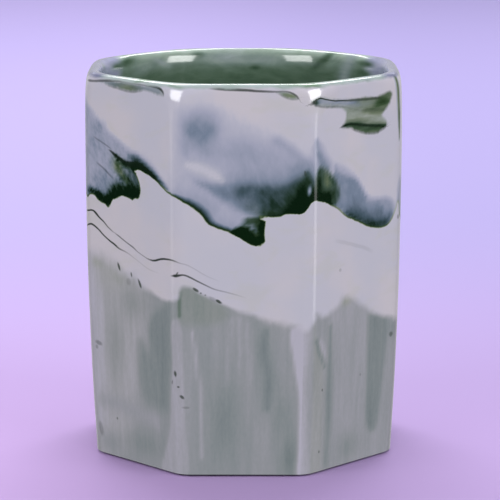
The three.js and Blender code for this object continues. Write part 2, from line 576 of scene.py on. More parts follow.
def wash(tone, green, softness, outline):
    path = smooth_path(outline, closed=True)

    def cover(across, up):
        distance, _, below, _ = along_path(path, across, up)
        return smooth_step(-softness, softness, np.where(below % 2 == 1, distance, -distance))

    return stroke(outline, softness + 1, cover, tone, green)


def brush(tone, green, half_width, points, strength=1.0):
    """Points may carry a third number, their share of the half width."""
    path = smooth_path([(a, u, *(more or (1.0,))) for a, u, *more in points])

    def cover(across, up):
        distance, _, _, share = along_path(path, across, up)
        return strength * np.exp(-((distance / (half_width * np.maximum(share[:, 0], 0.05))) ** 2))

    return stroke(points, 2.5 * half_width, cover, tone, green)


def dab(tone, green, a, u, half_width, half_height, tilt=0.0, strength=1.0):
    cos, sin = math.cos(math.radians(tilt)), math.sin(math.radians(tilt))

    def cover(across, up):
        du, dv = across - a, up - u
        far = ((du * cos + dv * sin) / half_width) ** 2 + ((dv * cos - du * sin) / half_height) ** 2
        return strength * np.exp(-far)

    return stroke([(a, u)], 2.5 * max(half_width, half_height), cover, tone, green)


def paint(canvas, strokes, *sheets):
    """Lays the strokes on a canvas of tone and green, on each sheet of across and up."""
    for low, high, cover, tone, green in strokes:
        for sheet_across, sheet_up in sheets:
            near = (sheet_across > low[0]) & (sheet_across < high[0])
            near &= (sheet_up > low[1]) & (sheet_up < high[1])
            share = cover(sheet_across[near], sheet_up[near])[:, None]
            canvas[near] += share * ((tone, green) - canvas[near])


def canvas_of(tone, green):
    return np.tile((float(tone), float(green)), (len(across), 1))


# The sheet as it lies on the front, and the same sheet moved half way round to the back. Near the lip it
# keeps its height. The last one is the inside of the back, as you see it from the front over the lip.
front_sheet = (across, up)
back_sheet = (wrapped(across - HALF_ROUND), up - BACK_RISE)
back_rim_sheet = (wrapped(across - HALF_ROUND), up)
inside_sheet = (wrapped(HALF_ROUND - across), up)

# %% Soft colour on the left of the front
left_strokes = [
    wash(0.33, 0.0, 1.0, [(-57, 93), (-50, 92), (-47, 90.3), (-44.7, 87.7), (-41.5, 86), (-37, 83.9),
                          (-33, 82), (-30, 80.4), (-27, 78.6), (-24, 76.6), (-21, 74.6), (-21, 73),
                          (-25, 75), (-31, 76), (-31, 68), (-52, 66), (-60, 75), (-60, 90)]),
    dab(0.38, 0.0, -45, 87, 2.5, 1.5),
    dab(0.42, 0.0, -47.5, 82, 2.5, 2),
    dab(0.45, 0.0, -43.5, 73.5, 2.5, 3),
    dab(0.30, 0.0, -42, 78, 2, 1.5),
    brush(0.68, 0.1, 1.1, [(-33.5, 80.3, 0.8), (-31.5, 80.2), (-29.5, 79.5), (-27.5, 78.6), (-25, 77.1),
                           (-22, 75.2, 0.7), (-19.5, 73.8, 0.4)]),
    dab(0.70, 1.0, -37.8, 77.4, 1.7, 2.6, 35),
    wash(0.62, 0.2, 1.1, [(-36.5, 76.3), (-33.5, 77.6), (-31, 76.8), (-29.8, 74), (-30, 71.5), (-34, 71.5),
                           (-38, 72), (-39, 74)]),
    brush(0.75, 1.0, 0.9, [(-38, 77), (-36, 75.3), (-34.5, 74)]),
    brush(0.38, 0.0, 0.5, [(-40.5, 76.3), (-38, 74.5), (-36, 73)]),
    dab(1.0, 0.4, -32.6, 71.9, 2.6, 1.9),
    dab(0.95, 0.8, -38.3, 71.3, 2.4, 1.5),
    brush(1.0, 0.7, 0.75, [(-38.6, 79.9, 0.4), (-36.8, 78.9, 0.8), (-35, 78.2), (-33, 77.9, 1.2),
                           (-31, 77.9, 1.2), (-29, 77.6), (-27, 76.8), (-25, 75.9, 0.8)]),
    brush(1.0, 0.3, 1.3, [(-51, 70, 0.6), (-48, 70.1, 0.6), (-46, 69.4, 0.7), (-44, 68.8), (-42, 68.4, 1.1),
                          (-40.5, 69.7, 1.2), (-38.5, 70.9, 1.1), (-36, 71), (-33, 71.2), (-30.8, 71.4)]),
    brush(0.40, 0.0, 0.7, [(-46.5, 73), (-44.5, 71.8), (-43, 71.9)]),
]

# %% Soft colour on the middle of the front
middle_strokes = [
    wash(0.17, 0.0, 4.0, [(-16.5, 94), (-10, 94.8), (-4, 92.5), (2, 90), (8, 87), (12, 84.8), (15, 82.5),
                          (18, 80), (18, 70), (4, 66), (0, 60), (-8, 65), (-16, 71), (-19, 74),
                          (-17.5, 84)]),
    wash(0.34, 0.0, 3.0, [(-8, 84), (0, 86), (7, 84.5), (13, 81.5), (17, 79), (17, 70), (8, 68), (-2, 69),
                          (-8, 73), (-5, 78)]),
    brush(0.36, 0.0, 1.4, [(8, 86), (11.5, 83.8), (15, 80.5)]),
    dab(0.30, 0.0, -10.5, 92, 3.5, 2),
    dab(0.38, 0.0, -11, 87.3, 4.3, 4.4),
    dab(0.36, 0.0, -13.8, 84.5, 2, 2.4),
    dab(0.38, 0.0, -9.6, 84, 1.8, 3),
    dab(0.48, 0.0, -8.8, 88, 2.5, 3.2),
    dab(0.60, 0.0, -12.3, 88.7, 2.5, 2.7),
    dab(0.24, 0.0, -11.9, 81.8, 1.1, 1.6),
    dab(0.38, 0.0, -10, 75, 3.2, 1.2, -28),
    dab(0.42, 0.0, -7, 74, 2.6, 1.2, -28),
    dab(0.55, 0.0, -4, 73, 2.6, 1.5, -20),
    brush(0.17, 0.0, 1.0, [(-14, 76), (-9, 72.5), (-5, 69.5), (-1, 67.5)]),
    brush(0.0, 0.3, 1.1, [(-13.8, 80.2, 0.6), (-11, 79.4), (-9, 78.5), (-7, 77.4), (-5, 76.1, 0.6)]),
    wash(0.50, 0.0, 2.6, [(-5, 75), (-1, 77), (5, 77.6), (10, 78), (14, 80), (18, 80), (18, 69), (14, 67),
                          (4, 66.8), (0, 68.5), (-3, 71)]),
    wash(0.64, 0.05, 1.8, [(-2.5, 74.3), (1, 75.2), (6, 75.4), (10, 75.6), (14, 77), (17.5, 77), (18, 69),
                           (14, 67), (5, 67.2), (1.5, 69.5), (-1, 71.5)]),
    wash(0.74, 0.1, 1.2, [(-0.5, 74.2), (3, 74.8), (8, 75), (11.5, 75.4), (14, 76.6), (16, 73),
                          (15, 68.6), (12, 67.4), (6, 68), (2.5, 70.6)]),
    dab(0.76, 0.05, 1.6, 72.9, 2.8, 1.4, -10),
    dab(0.86, 0.1, 5.5, 72.6, 4.4, 1.6, -5),
    dab(0.84, 0.2, 10.3, 72.3, 3, 2.2, 20),
    dab(0.86, 0.1, 7, 70, 4.5, 1.6),
    dab(0.74, 0.2, 2.5, 69.6, 2.8, 1.2),
    dab(0.86, 0.5, 6.5, 68, 3.4, 1.0),
    wash(0.86, 0.35, 1.7, [(9.4, 69.8), (10.8, 72.5), (13, 75.5), (15.5, 78), (18, 75), (18, 69),
                           (14, 67.5), (10.6, 68)]),
    wash(0.98, 0.4, 1.0, [(11.4, 70), (12.6, 71.8), (13.6, 73.8), (14.8, 76), (15.6, 78.3), (16.2, 78),
                          (17.2, 75), (18, 73), (18, 70.5), (16.5, 70.3), (15.5, 69), (14, 67.8),
                          (12.4, 68.5)]),
    # Painted highlight: a small bluish glint on the dark mass.
    dab(0.30, 0.0, 16.4, 73.6, 0.6, 1.3, -8),
    wash(0.86, 0.7, 0.5, [(0.4, 66.6), (5.6, 66.6), (5.8, 60), (3, 59), (0, 60.5), (-4, 62.6), (-1.5, 64.6),
                          (0.4, 65.4)]),
    dab(0.95, 0.9, 4.0, 62.6, 2.2, 2.8),
    dab(0.52, 0.1, 2.3, 64.4, 2.0, 0.8, -42),
    brush(0.95, 0.7, 0.55, [(0.6, 66.2), (2.8, 66.2), (5.3, 66.0)]),
]

# %% Soft colour on the right of the front
right_strokes = [
    wash(0.5, 0.0, 0.9, [(25, 79), (27, 77.5), (30, 76.5), (33, 75), (35, 72.8), (36.5, 70.5),
                         (37.2, 69.8), (36.5, 68), (36, 66), (37, 64), (25, 68.5), (24, 72)]),
    wash(0.42, 0.0, 1.3, [(36, 69), (40, 68.8), (44, 68.8), (46.5, 67.8), (47.8, 66), (47.5, 64.5),
                          (46, 62), (42, 60), (36, 62)]),
    dab(0.24, 0.0, 28, 77.6, 4, 1.2, -25),
    brush(0.34, 0.0, 2.0, [(18.5, 86, 0.4), (19, 84), (20.3, 81.5), (22, 79.5)]),
    brush(0.46, 0.0, 1.3, [(19.3, 82.5, 0.6), (20.4, 80.5), (22, 78.8)]),
    wash(0.82, 0.6, 0.8, [(19.2, 79), (21.5, 78.6), (23.2, 77.6), (25, 75.8), (26.4, 73.5), (26.6, 71),
                          (25, 69), (19.5, 69.8), (18, 74)]),
    dab(0.56, 1.0, 22.3, 75.3, 1.4, 2.5, 20),
    dab(0.97, 0.5, 22.5, 71.8, 3.4, 1.3),
    dab(0.95, 0.5, 19.6, 75, 0.7, 3),
    brush(0.70, 0.0, 1.7, [(29, 66.8, 0.5), (32, 65.6, 0.8), (35, 64.6), (38, 63.4), (41, 62.9), (44, 63.1),
                           (46, 64, 0.6)]),
    brush(0.56, 0.0, 1.4, [(28, 68.6, 0.8), (32, 66.8), (36, 65.2), (40, 64.4), (44, 64, 0.7)]),
    dab(0.50, 0.0, 42, 64.6, 2.4, 1.6),
    dab(0.34, 0.0, 49.3, 66, 0.8, 4),
    brush(0.66, 1.0, 0.9, [(49.3, 99.5), (49.2, 94), (49.3, 88, 0.7), (49.4, 83, 0.3)]),
]

# %% Soft colour on the sides
side_strokes = [
    wash(0.34, 0.0, 1.6, [(49.5, 72), (54, 76), (60, 84), (66, 90), (74, 91), (80, 93), (86, 94), (86, 72),
                          (76, 68), (72, 73), (66, 71), (60, 64), (54, 61), (50, 64)]),
    wash(0.62, 0.1, 1.0, [(62, 70), (66, 77), (72, 80.5), (78, 76), (82, 71), (78, 67), (72, 74), (67, 71)]),
    wash(0.9, 0.5, 0.8, [(66.5, 73), (70, 77.5), (74, 76.5), (77, 71), (75, 69), (72, 73.5), (68, 73.5)]),
    brush(0.3, 0.0, 1.6, [(56, 88), (61, 92), (66, 94)]),
    brush(0.05, 0.3, 0.9, [(56, 70), (60, 74), (65, 80), (72, 84), (79, 85, 0.6)]),
    wash(0.33, 0.0, 1.6, [(-86, 72), (-83, 80), (-80, 88), (-72, 84), (-64, 86), (-56, 92), (-50, 92),
                          (-50, 68), (-56, 72), (-61, 70), (-65, 63), (-69, 59), (-76, 64), (-82, 68)]),
    wash(0.72, 0.2, 1.0, [(-80, 70), (-76, 74.5), (-70, 73), (-65, 69), (-63, 66), (-66, 62), (-70, 59),
                          (-76, 64)]),
    wash(0.98, 0.5, 0.8, [(-75.5, 65), (-72, 69), (-67, 67), (-66, 63), (-70, 59.5)]),
    brush(0.62, 0.0, 1.4, [(-78, 80), (-70, 79, 0.8), (-62, 81), (-57, 84)]),
    brush(0.04, 0.3, 0.8, [(-76, 77), (-68, 75.5), (-60, 76.5), (-55, 79)]),
]

# %% Lay the soft colour on the cup
marbling = canvas_of(0, 0)
front_strokes = left_strokes + middle_strokes + right_strokes
paint(marbling, front_strokes, front_sheet, back_sheet)
paint(marbling, side_strokes, front_sheet)
add_field("tone", marbling[:, 0])
add_field("greenness", marbling[:, 1])
print("soft colour:", len(front_strokes) + len(side_strokes), "strokes")

# %% [markdown]
# On the left the painted colour is combed into slanting fingers. One more field says how strongly: a trace
# everywhere, and in full on the left face.

# %% Where the colour is combed
combed_trace = 0.15
combed_fully = smooth_step(-27, -33, across) * smooth_step(-80, -60, across)
add_field("combed", combed_trace + 0.75 * combed_fully)

# %% [markdown]
# The marbling, part three: islands under the lip
#
# Near the lip lie small closed patches of olive and blue-grey clay. Each is an outline, and the distance to
# it is negative outside and positive inside, like the long edge's. Their colour is painted as before.

# %% Islands near the lip
front_islands = {
    "left_lens": [(-45, 98.3), (-41, 98.8), (-38, 99), (-33, 98.95), (-28, 98.8), (-25, 98.9),
                  (-22.5, 98.6), (-21.3, 97.9), (-20.9, 96.8), (-22, 96.7), (-24, 97), (-27, 97.5),
                  (-29.5, 97.2), (-31, 96.9), (-33, 96.7), (-35, 96.8), (-38, 97.2), (-40.5, 97.4),
                  (-43, 97.9)],
    "middle_lens": [(8, 98.1), (10, 98.3), (11.5, 98.1), (12.9, 97.4), (13.5, 96.5), (12.5, 96.3),
                    (11, 96.5), (9.3, 97.3)],
    "right_patch": [(17, 95.5), (18, 94.6), (21, 93.8), (25, 93.5), (28.3, 92.6), (29, 90.8),
                    (28.4, 89.2), (27.2, 88.3), (29.5, 87.9), (32, 87.2), (35, 86.1), (38, 85.5),
                    (41, 85.6), (43.5, 86.4), (44.6, 87.6), (43.6, 89), (42.6, 90.1), (44, 91.2),
                    (45.6, 92.7), (46.6, 95), (45.4, 96), (44, 95.6), (41, 95), (37, 95.1), (33, 95.2),
                    (30, 95.3), (27, 95.5), (24, 95.8), (22, 96.2), (20, 96.7), (18.4, 96.6),
                    (17.2, 96.1)],
}
side_islands = {
    "right_side": [(58, 94), (66, 92.5), (74, 94.5), (79, 93), (81, 95), (75, 97), (66, 96), (60, 96.4)],
    "left_side": [(-79, 96.5), (-72, 95), (-66, 96), (-61, 94.5), (-56, 96), (-60, 98), (-70, 98.2)],
}


def island_distance(outline):
    path = smooth_path(outline, closed=True)
    signed = np.full(len(across), -20.0)
    near = near_path(path)
    distance, _, below, _ = along_path(path, across[near], up[near])
    signed[near] = np.where(below % 2 == 1, distance, -distance)
    return signed


islands = list(front_islands.values()) + list(side_islands.values())
islands += [[(a + HALF_ROUND, u) for a, u in outline] for outline in front_islands.values()]
island_edge = np.full(len(across), -20.0)
for outline in islands:
    island_edge = np.maximum(island_edge, island_distance(outline))
add_field("island_edge", island_edge)

island_strokes = [
    brush(0.50, 0.3, 1.0, [(-44, 98.2), (-36, 98), (-28, 98), (-23, 97.8)]),
    dab(0.60, 0.9, -34, 97.5, 4, 1.2),
    dab(0.50, 1.0, 11.5, 97.2, 3, 1),
    wash(0.42, 0.8, 0.5, front_islands["right_patch"]),
    brush(0.44, 0.0, 0.7, [(19, 95.6), (24, 95), (29, 94.4), (34, 93.8)]),
    dab(0.50, 0.6, 38, 93.3, 5, 1.2),
    dab(0.62, 1.0, 40.5, 91.4, 4.5, 1.4),
    dab(1.0, 0.4, 18.3, 95.2, 1.1, 0.9),
    dab(0.84, 1.0, 42.8, 93.4, 3.6, 2.0, 15),
    brush(0.66, 0.9, 0.6, [(33, 94.5, 0.6), (38, 94.8), (42, 95), (45.5, 95.6, 0.8)]),
    brush(0.60, 0.9, 0.8, [(36, 91.9, 0.6), (40, 91.6), (43.5, 91.6)]),
    dab(0.36, 0.9, 35, 90.2, 6.5, 0.9),
    brush(0.88, 0.8, 1.0, [(27.5, 88.4, 0.5), (30, 88.6, 0.8), (34, 88.1), (38, 87.4), (42, 87),
                           (43.8, 87, 0.7)]),
    brush(0.70, 0.9, 0.8, [(31, 87.1, 0.6), (35, 86.4), (38, 86), (42, 86.3)]),
]
island_paint = canvas_of(0.36, 0.5)
paint(island_paint, island_strokes, front_sheet, back_rim_sheet)
add_field("island_tone", island_paint[:, 0])
add_field("island_green", island_paint[:, 1])
print("islands:", len(islands))

# %% [markdown]
# The marbling, part four: fine lines
#
# Thin sheets of dark clay cut almost square show as fine dark lines, a third of a millimetre wide, and the
# islands have dark rims. For a line we keep the signed distance in line widths, positive on one side and
# negative on the other, and a strength that is full near the line and nothing two millimetres away. Two
# lines that run close together would confuse each other's sides, so neighbours go on two separate layers.

# %% Fine lines
long_hair = [
    # across, up, half width, strength
    (-54, 64, 0.2, 0), (-50, 64.6, 0.24, 1), (-48.5, 64.9, 0.24, 1), (-47.5, 64.9, 0.26, 1),
    (-46.5, 64.4, 0.36, 1), (-45, 63.3, 0.26, 1), (-43.5, 62.5, 0.24, 0.9), (-42, 61.4, 0.2, 0.75),
    (-40.5, 60.6, 0.2, 0.6), (-39.5, 60.2, 0.16, 0.3), (-38, 59.6, 0.2, 0.7), (-35, 58.3, 0.2, 0.65),
    (-33.5, 57.7, 0.22, 0.7), (-32, 57.1, 0.22, 0.65), (-31, 56.5, 0.16, 0.5), (-28, 55.4, 0.16, 0.5),
    (-26.5, 55.05, 0.2, 0.7), (-25, 55, 0.26, 1), (-23.5, 55.4, 0.28, 1), (-22.3, 55.8, 0.28, 1),
    (-21, 56, 0.26, 1), (-18.3, 56.05, 0.22, 0.8), (-16, 55.5, 0.18, 0.3), (-13.5, 54.8, 0.18, 0.2),
    (-9.5, 52.4, 0.18, 0.15), (-5.5, 50.7, 0.18, 0),
]
second_hair = [
    (-53, 60, 0.3, 0), (-50, 60.9, 0.24, 1), (-48.5, 61.25, 0.26, 1), (-47.5, 61.1, 0.28, 1),
    (-46.5, 60.7, 0.28, 1), (-45.2, 60, 0.26, 0.95), (-44, 59.2, 0.24, 0.95), (-42.5, 58.4, 0.24, 0.95),
    (-41, 57.7, 0.26, 1), (-39.5, 57.1, 0.28, 1), (-38.5, 56.6, 0.26, 0.9), (-37.4, 56.2, 0.22, 0.7),
    (-35, 55.7, 0.2, 0.35), (-31.5, 54.4, 0.18, 0.16), (-27, 52.6, 0.18, 0.14), (-22.5, 52, 0.18, 0),
]
third_hair = [
    (-19, 52, 0.2, 0), (-18, 52.1, 0.3, 0.9), (-17.2, 52.2, 0.42, 1), (-15.5, 52.5, 0.24, 0.9),
    (-14.5, 52.4, 0.24, 0.85), (-13.3, 51.9, 0.24, 0.85), (-12, 51.2, 0.22, 0.8), (-10.5, 50.4, 0.2, 0.75),
    (-8, 49.2, 0.2, 0.5), (-6.5, 48.7, 0.2, 0.4), (-3, 47.8, 0.2, 0.25), (1, 46.6, 0.2, 0),
]
vein = [
    (-41.5, 81.3, 0.2, 0), (-40.5, 81, 0.3, 0.8), (-39, 80.2, 0.5, 1), (-37, 79.4, 0.6, 1),
    (-35, 78.7, 0.7, 1), (-33, 78.5, 0.85, 1), (-31, 78.7, 1.0, 1), (-29, 78.3, 0.8, 1),
    (-27, 77.6, 0.6, 1), (-25, 76.6, 0.45, 0.9), (-23.5, 75.7, 0.35, 0.6), (-22, 74.8, 0.3, 0),
]
lens_top = [
    (-52, 97.9, 0.25, 0), (-50, 98, 0.3, 0.7), (-48, 98.1, 0.32, 0.7), (-45, 98.4, 0.36, 0.75),
    (-41, 98.8, 0.36, 0.8), (-38, 99, 0.26, 0.8), (-34, 98.9, 0.2, 0.45), (-28, 98.8, 0.2, 0.5),
    (-25, 98.8, 0.3, 0.8), (-23, 98.6, 0.34, 0.9), (-21.8, 98.1, 0.34, 0.9), (-21.1, 97.4, 0.26, 0.7),
    (-21, 96.6, 0.2, 0),
]
middle_line = [
    (-9, 99, 0.2, 0), (-6.5, 98.9, 0.34, 0.8), (-3, 98.8, 0.4, 0.9), (0, 98.6, 0.38, 0.9),
    (4, 98.35, 0.32, 0.85), (7, 98.2, 0.28, 0.7), (10, 98.3, 0.22, 0.5), (11.5, 98.05, 0.24, 0.7),
    (12.9, 97.3, 0.26, 0.7), (13.5, 96.6, 0.22, 0.5),
]
patch_line = [
    (16.9, 95.1, 0.4, 0.5), (17.7, 95.4, 0.42, 0.9), (18.7, 96.1, 0.26, 1), (20, 96.3, 0.2, 1),
    (22, 95.8, 0.18, 0.95), (25, 95.2, 0.18, 0.95), (28, 95, 0.2, 0.9), (30, 94.8, 0.28, 0.75),
    (33, 94.7, 0.36, 0.65), (37, 94.5, 0.36, 0.6), (41, 94.4, 0.36, 0.55), (44, 94.3, 0.3, 0),
]
patch_bottom = [
    (26.6, 88.2, 0.2, 0), (27.8, 88.5, 0.3, 0.7), (30, 88.9, 0.35, 0.8), (34, 88.4, 0.4, 0.8),
    (38, 87.8, 0.4, 0.8), (42, 87.3, 0.4, 0.75), (44, 87.1, 0.3, 0.3),
]
lens_rim = [
    (-42, 97.7, 0.25, 0), (-40, 97.4, 0.26, 0.25), (-38, 97.2, 0.28, 0.3), (-35, 96.8, 0.3, 0.35),
    (-33, 96.7, 0.3, 0.35), (-31, 96.9, 0.28, 0.3), (-29.5, 97.2, 0.25, 0.2), (-28, 97.5, 0.2, 0),
]
small_lens_rim = [
    (13.5, 96.5, 0.24, 0.15), (12.5, 96.3, 0.24, 0.25), (11, 96.5, 0.24, 0.25), (9.3, 97.3, 0.24, 0.2),
    (8, 98, 0.2, 0),
]
patch_fringe = [
    (17.5, 94.8, 0.25, 0), (18.5, 94.6, 0.3, 0.4), (21, 94, 0.3, 0.35), (25, 93.7, 0.3, 0.3),
    (29, 93.2, 0.3, 0.15), (32, 92.4, 0.3, 0.1), (35, 91.9, 0.4, 0.2), (39, 91.6, 0.45, 0.25),
    (43, 91.3, 0.4, 0.15), (44.5, 91.2, 0.3, 0),
]
patch_rim = [
    (31, 87.4, 0.2, 0), (32, 87.2, 0.26, 0.25), (35, 86.2, 0.3, 0.3), (38, 85.65, 0.3, 0.35),
    (40.5, 85.7, 0.3, 0.3), (43, 86.3, 0.3, 0.25), (44.4, 87.2, 0.26, 0.15),
]
olive_streak = [
    (-47, 84.2, 0.25, 0), (-46, 83.7, 0.25, 0.35), (-43, 82.7, 0.25, 0.4), (-41, 81.9, 0.25, 0.35),
    (-39.8, 81.4, 0.2, 0),
]
low_streak = [
    (-46, 77.6, 0.3, 0), (-45, 77.2, 0.3, 0.4), (-43, 76.2, 0.3, 0.45), (-41.5, 75.2, 0.3, 0.45),
    (-40, 74.3, 0.3, 0.3), (-39, 73.8, 0.3, 0),
]
pale_shadow = [
    (25, 60, 0.5, 0), (27.5, 59.5, 0.5, 0.1), (35, 57.2, 0.5, 0.12), (38, 56, 0.5, 0.1), (40, 55, 0.5, 0),
]
right_hair = [
    (55, 56, 0.2, 0), (59, 55, 0.22, 0.8), (64, 57.5, 0.24, 0.9), (69, 61, 0.26, 1), (74, 60, 0.24, 0.7),
    (80, 56, 0.2, 0.5), (88, 55, 0.2, 0),
]
left_hair = [
    (-90, 60, 0.2, 0), (-84, 58.5, 0.22, 0.7), (-78, 54.5, 0.24, 0.9), (-71, 53, 0.26, 1),
    (-65, 56.5, 0.22, 0.6), (-60, 61, 0.24, 0.8), (-56, 63.5, 0.2, 0.5), (-53, 64.5, 0.2, 0),
]
front_lines = {
    "line_one": [long_hair, vein, lens_top, middle_line, patch_line, patch_bottom, pale_shadow],
    "line_two": [second_hair, third_hair, lens_rim, small_lens_rim, patch_fringe, patch_rim,
                 olive_streak, low_streak],
}
side_lines = {"line_one": [right_hair], "line_two": [left_hair]}
LINE_FULL = 1.3
LINE_GONE = 2.2


def line_on_the_back(line):
    """The same line on the back. Near the lip it keeps its height; lower down it rises with the long edge."""
    return [(a + HALF_ROUND, u + (0 if u > 85 else BACK_RISE), *more) for a, u, *more in line]


for layer, lines in front_lines.items():
    every_line = lines + side_lines[layer] + [line_on_the_back(line) for line in lines]
    gap = np.full(len(across), 9.0)
    signed = np.full(len(across), 9.0)
    strength = np.zeros(len(across))
    for line in every_line:
        path = smooth_path(line)
        near = near_path(path)
        distance, side, _, values = along_path(path, across[near], up[near])
        nearer = distance < gap[near]
        fade = 1 - smooth_step(LINE_FULL, LINE_GONE, distance)
        widths_away = distance * side / np.maximum(values[:, 0], 0.1)
        strength[near] = np.where(nearer, fade * np.clip(values[:, 1], 0, 1), strength[near])
        signed[near] = np.where(nearer, widths_away, signed[near])
        gap[near] = np.minimum(distance, gap[near])
    add_field(layer, signed)
    add_field(layer + "_strength", strength)
    print(layer, "has", len(every_line), "lines")

# %% [markdown]
# The marbling, part five: the grey-green lower half
#
# Lower down the white clay gives way to grey-green clay that runs down in soft upright streaks. Its upper
# edge is one more path round the cup, with how soft it is at each point. The streaks are painted with the
# same three tools. Here the tone says how pale the clay is, from 0 for blue-green grey to 1 for lavender.

# %% The edge of the lower half
front_lower = [
    (-50, 54.4, 2.0), (-46, 54, 2.0), (-40, 53.2, 1.9), (-38, 51.5, 1.7), (-35, 50.6, 1.5),
    (-34, 49.9, 1.4), (-32, 50, 1.3), (-30, 48, 1.1), (-27, 47.6, 0.9), (-25.5, 46.9, 0.8),
    (-24.3, 46.5, 0.7), (-22, 45.8, 0.6), (-19.5, 45.7, 0.6), (-17.5, 46, 0.6), (-16.6, 46.5, 0.6),
    (-16.2, 48.5, 0.6), (-15.5, 49.6, 0.6), (-14.5, 49.6, 0.6), (-13.2, 49.4, 0.55), (-12.3, 49, 0.5),
    (-11, 48, 0.5), (-9, 47, 0.5), (-7, 46, 0.5), (-5, 45.1, 0.5), (-3.5, 44.4, 0.5), (-2, 43.8, 0.6),
    (0, 43.3, 0.7), (3, 42.2, 0.8), (6.5, 40.9, 0.9), (9.5, 40.2, 1.0), (13, 39.7, 1.0),
    (14.5, 39, 0.9), (16, 38.5, 0.8), (18, 40, 0.8), (19, 42.3, 0.8), (20.5, 42, 0.9), (22, 41.5, 1.0),
    (25, 42, 1.0), (26.5, 42.7, 1.0), (28, 44.5, 0.9), (28.7, 45.2, 0.9), (30, 45.3, 0.9),
    (31.5, 45, 0.9), (33, 44.2, 0.9), (34, 43.5, 0.9), (36, 42, 0.9), (38, 41, 0.9), (41, 39.2, 0.9),
    (44, 38.1, 0.8), (46, 37.4, 0.8), (50, 36.5, 0.9),
]
right_lower = [(55, 38, 1), (61, 43, 0.8), (66, 49, 0.6), (70, 49.5, 0.7), (75, 48.5, 0.9), (80, 54.5, 1)]
left_lower = [
    (-80, 41.5, 1), (-74, 45.5, 0.8), (-69, 42.5, 0.7), (-64, 45, 0.8), (-59, 51, 0.7), (-55, 54, 0.9),
]
lower_edge = front_lower + right_lower + on_the_back(front_lower) + onward(left_lower, 1)
lower_path = smooth_path(lower_edge + onward(front_lower[:1], 1))
distance, _, below, softness = along_path(lower_path, across, up)
add_field("lower_edge", np.clip(np.where(below % 2 == 0, distance, -distance), -20, 60))
add_field("lower_soft", np.clip(softness[:, 0], 0.4, 2))

# %% Streaks of the lower half
left_streaks = [
    wash(0.82, 0.2, 5.0, [(-56, 60), (-30, 56), (-28, 40), (-32, 20), (-38, 4), (-56, 4)]),
    brush(0.90, 0.0, 4.5, [(-49, 54), (-49, 40), (-49, 25), (-50, 8, 0.8)]),
    dab(0.82, 0.4, -41, 49, 6.5, 4.5),
    dab(0.70, 0.6, -46.5, 51.5, 2.2, 1.4, -15),
    dab(0.66, 0.5, -38.5, 48.5, 2.4, 1.6, -30),
    dab(0.48, 0.2, -33, 43, 5, 4.5),
    dab(0.54, 0.2, -40, 32, 3.5, 10),
    wash(0.18, 0.1, 1.4, [(-26.5, 40), (-23, 43), (-19.5, 45.4), (-18.7, 42), (-18.8, 34), (-19.2, 28),
                          (-22, 26), (-26, 30), (-27.5, 36)]),
    wash(0.20, 0.1, 2.5, [(-31, 33), (-27, 31), (-20, 30), (-19.6, 22), (-21, 17), (-28, 17), (-31, 22)]),
    brush(0.62, 0.0, 2.2, [(-46, 15), (-40, 15), (-33, 14), (-25, 13)]),
    dab(0.20, 0.1, -30, 6, 6.5, 3.2),
    dab(0.45, 0.0, -44, 4, 5, 3),
    wash(0.74, 0.0, 0.6, [(-18.9, 40), (-18.8, 30), (-19.5, 22), (-20, 15), (-21, 10), (-22.5, 6),
                          (-23.8, 0), (-15, 0), (-15, 10), (-15.3, 20), (-15.5, 30), (-15.8, 40)]),
]
middle_streaks = [
    wash(0.34, 0.38, 1.5, [(-16.4, 48.6), (-14.5, 49.7), (-12, 49), (-8.5, 46.8), (-5, 44.5), (-4, 42),
                          (-7, 40), (-12, 39.5), (-15.5, 40), (-16.4, 43)]),
    brush(-0.3, 1.0, 0.5, [(-16.1, 48), (-16.3, 45), (-16.3, 42)], 0.7),
    dab(0.45, 0.0, -8, 33, 5, 5),
    dab(0.20, 0.1, -5.5, 14, 4.5, 11),
    dab(0.50, 0.0, -13.5, 22, 1.6, 14),
    brush(0.78, 0.0, 0.6, [(-13, 38, 0.7), (-12.3, 32), (-11.8, 27), (-11.3, 22), (-11.2, 5)]),
    brush(0.62, 0.0, 0.7, [(-3, 41), (-3.6, 33), (-4.6, 24, 0.7)]),
    brush(0.60, 0.0, 0.6, [(-1, 41), (-1, 33), (-1.6, 25, 0.7)]),
    brush(0.62, 0.0, 0.7, [(1, 40), (1.4, 33), (1.6, 26, 0.7)]),
    brush(0.04, 0.1, 1.7, [(5.6, 38, 0.7), (5.4, 33), (6.3, 28), (6.3, 24), (5.8, 18, 0.6)]),
    dab(0.42, 0.0, 10, 31, 2.5, 6),
    dab(0.12, 0.2, 12, 5, 2.2, 6),
    dab(0.30, 0.1, 9.5, 16, 2.5, 8),
    wash(1.05, 0.0, 0.7, [(11.7, 38), (12.4, 32), (13.2, 27), (14.1, 21), (14.3, 10), (14.2, -2),
                          (18.2, -2), (18.2, 20), (18.1, 38), (15, 40)]),
]
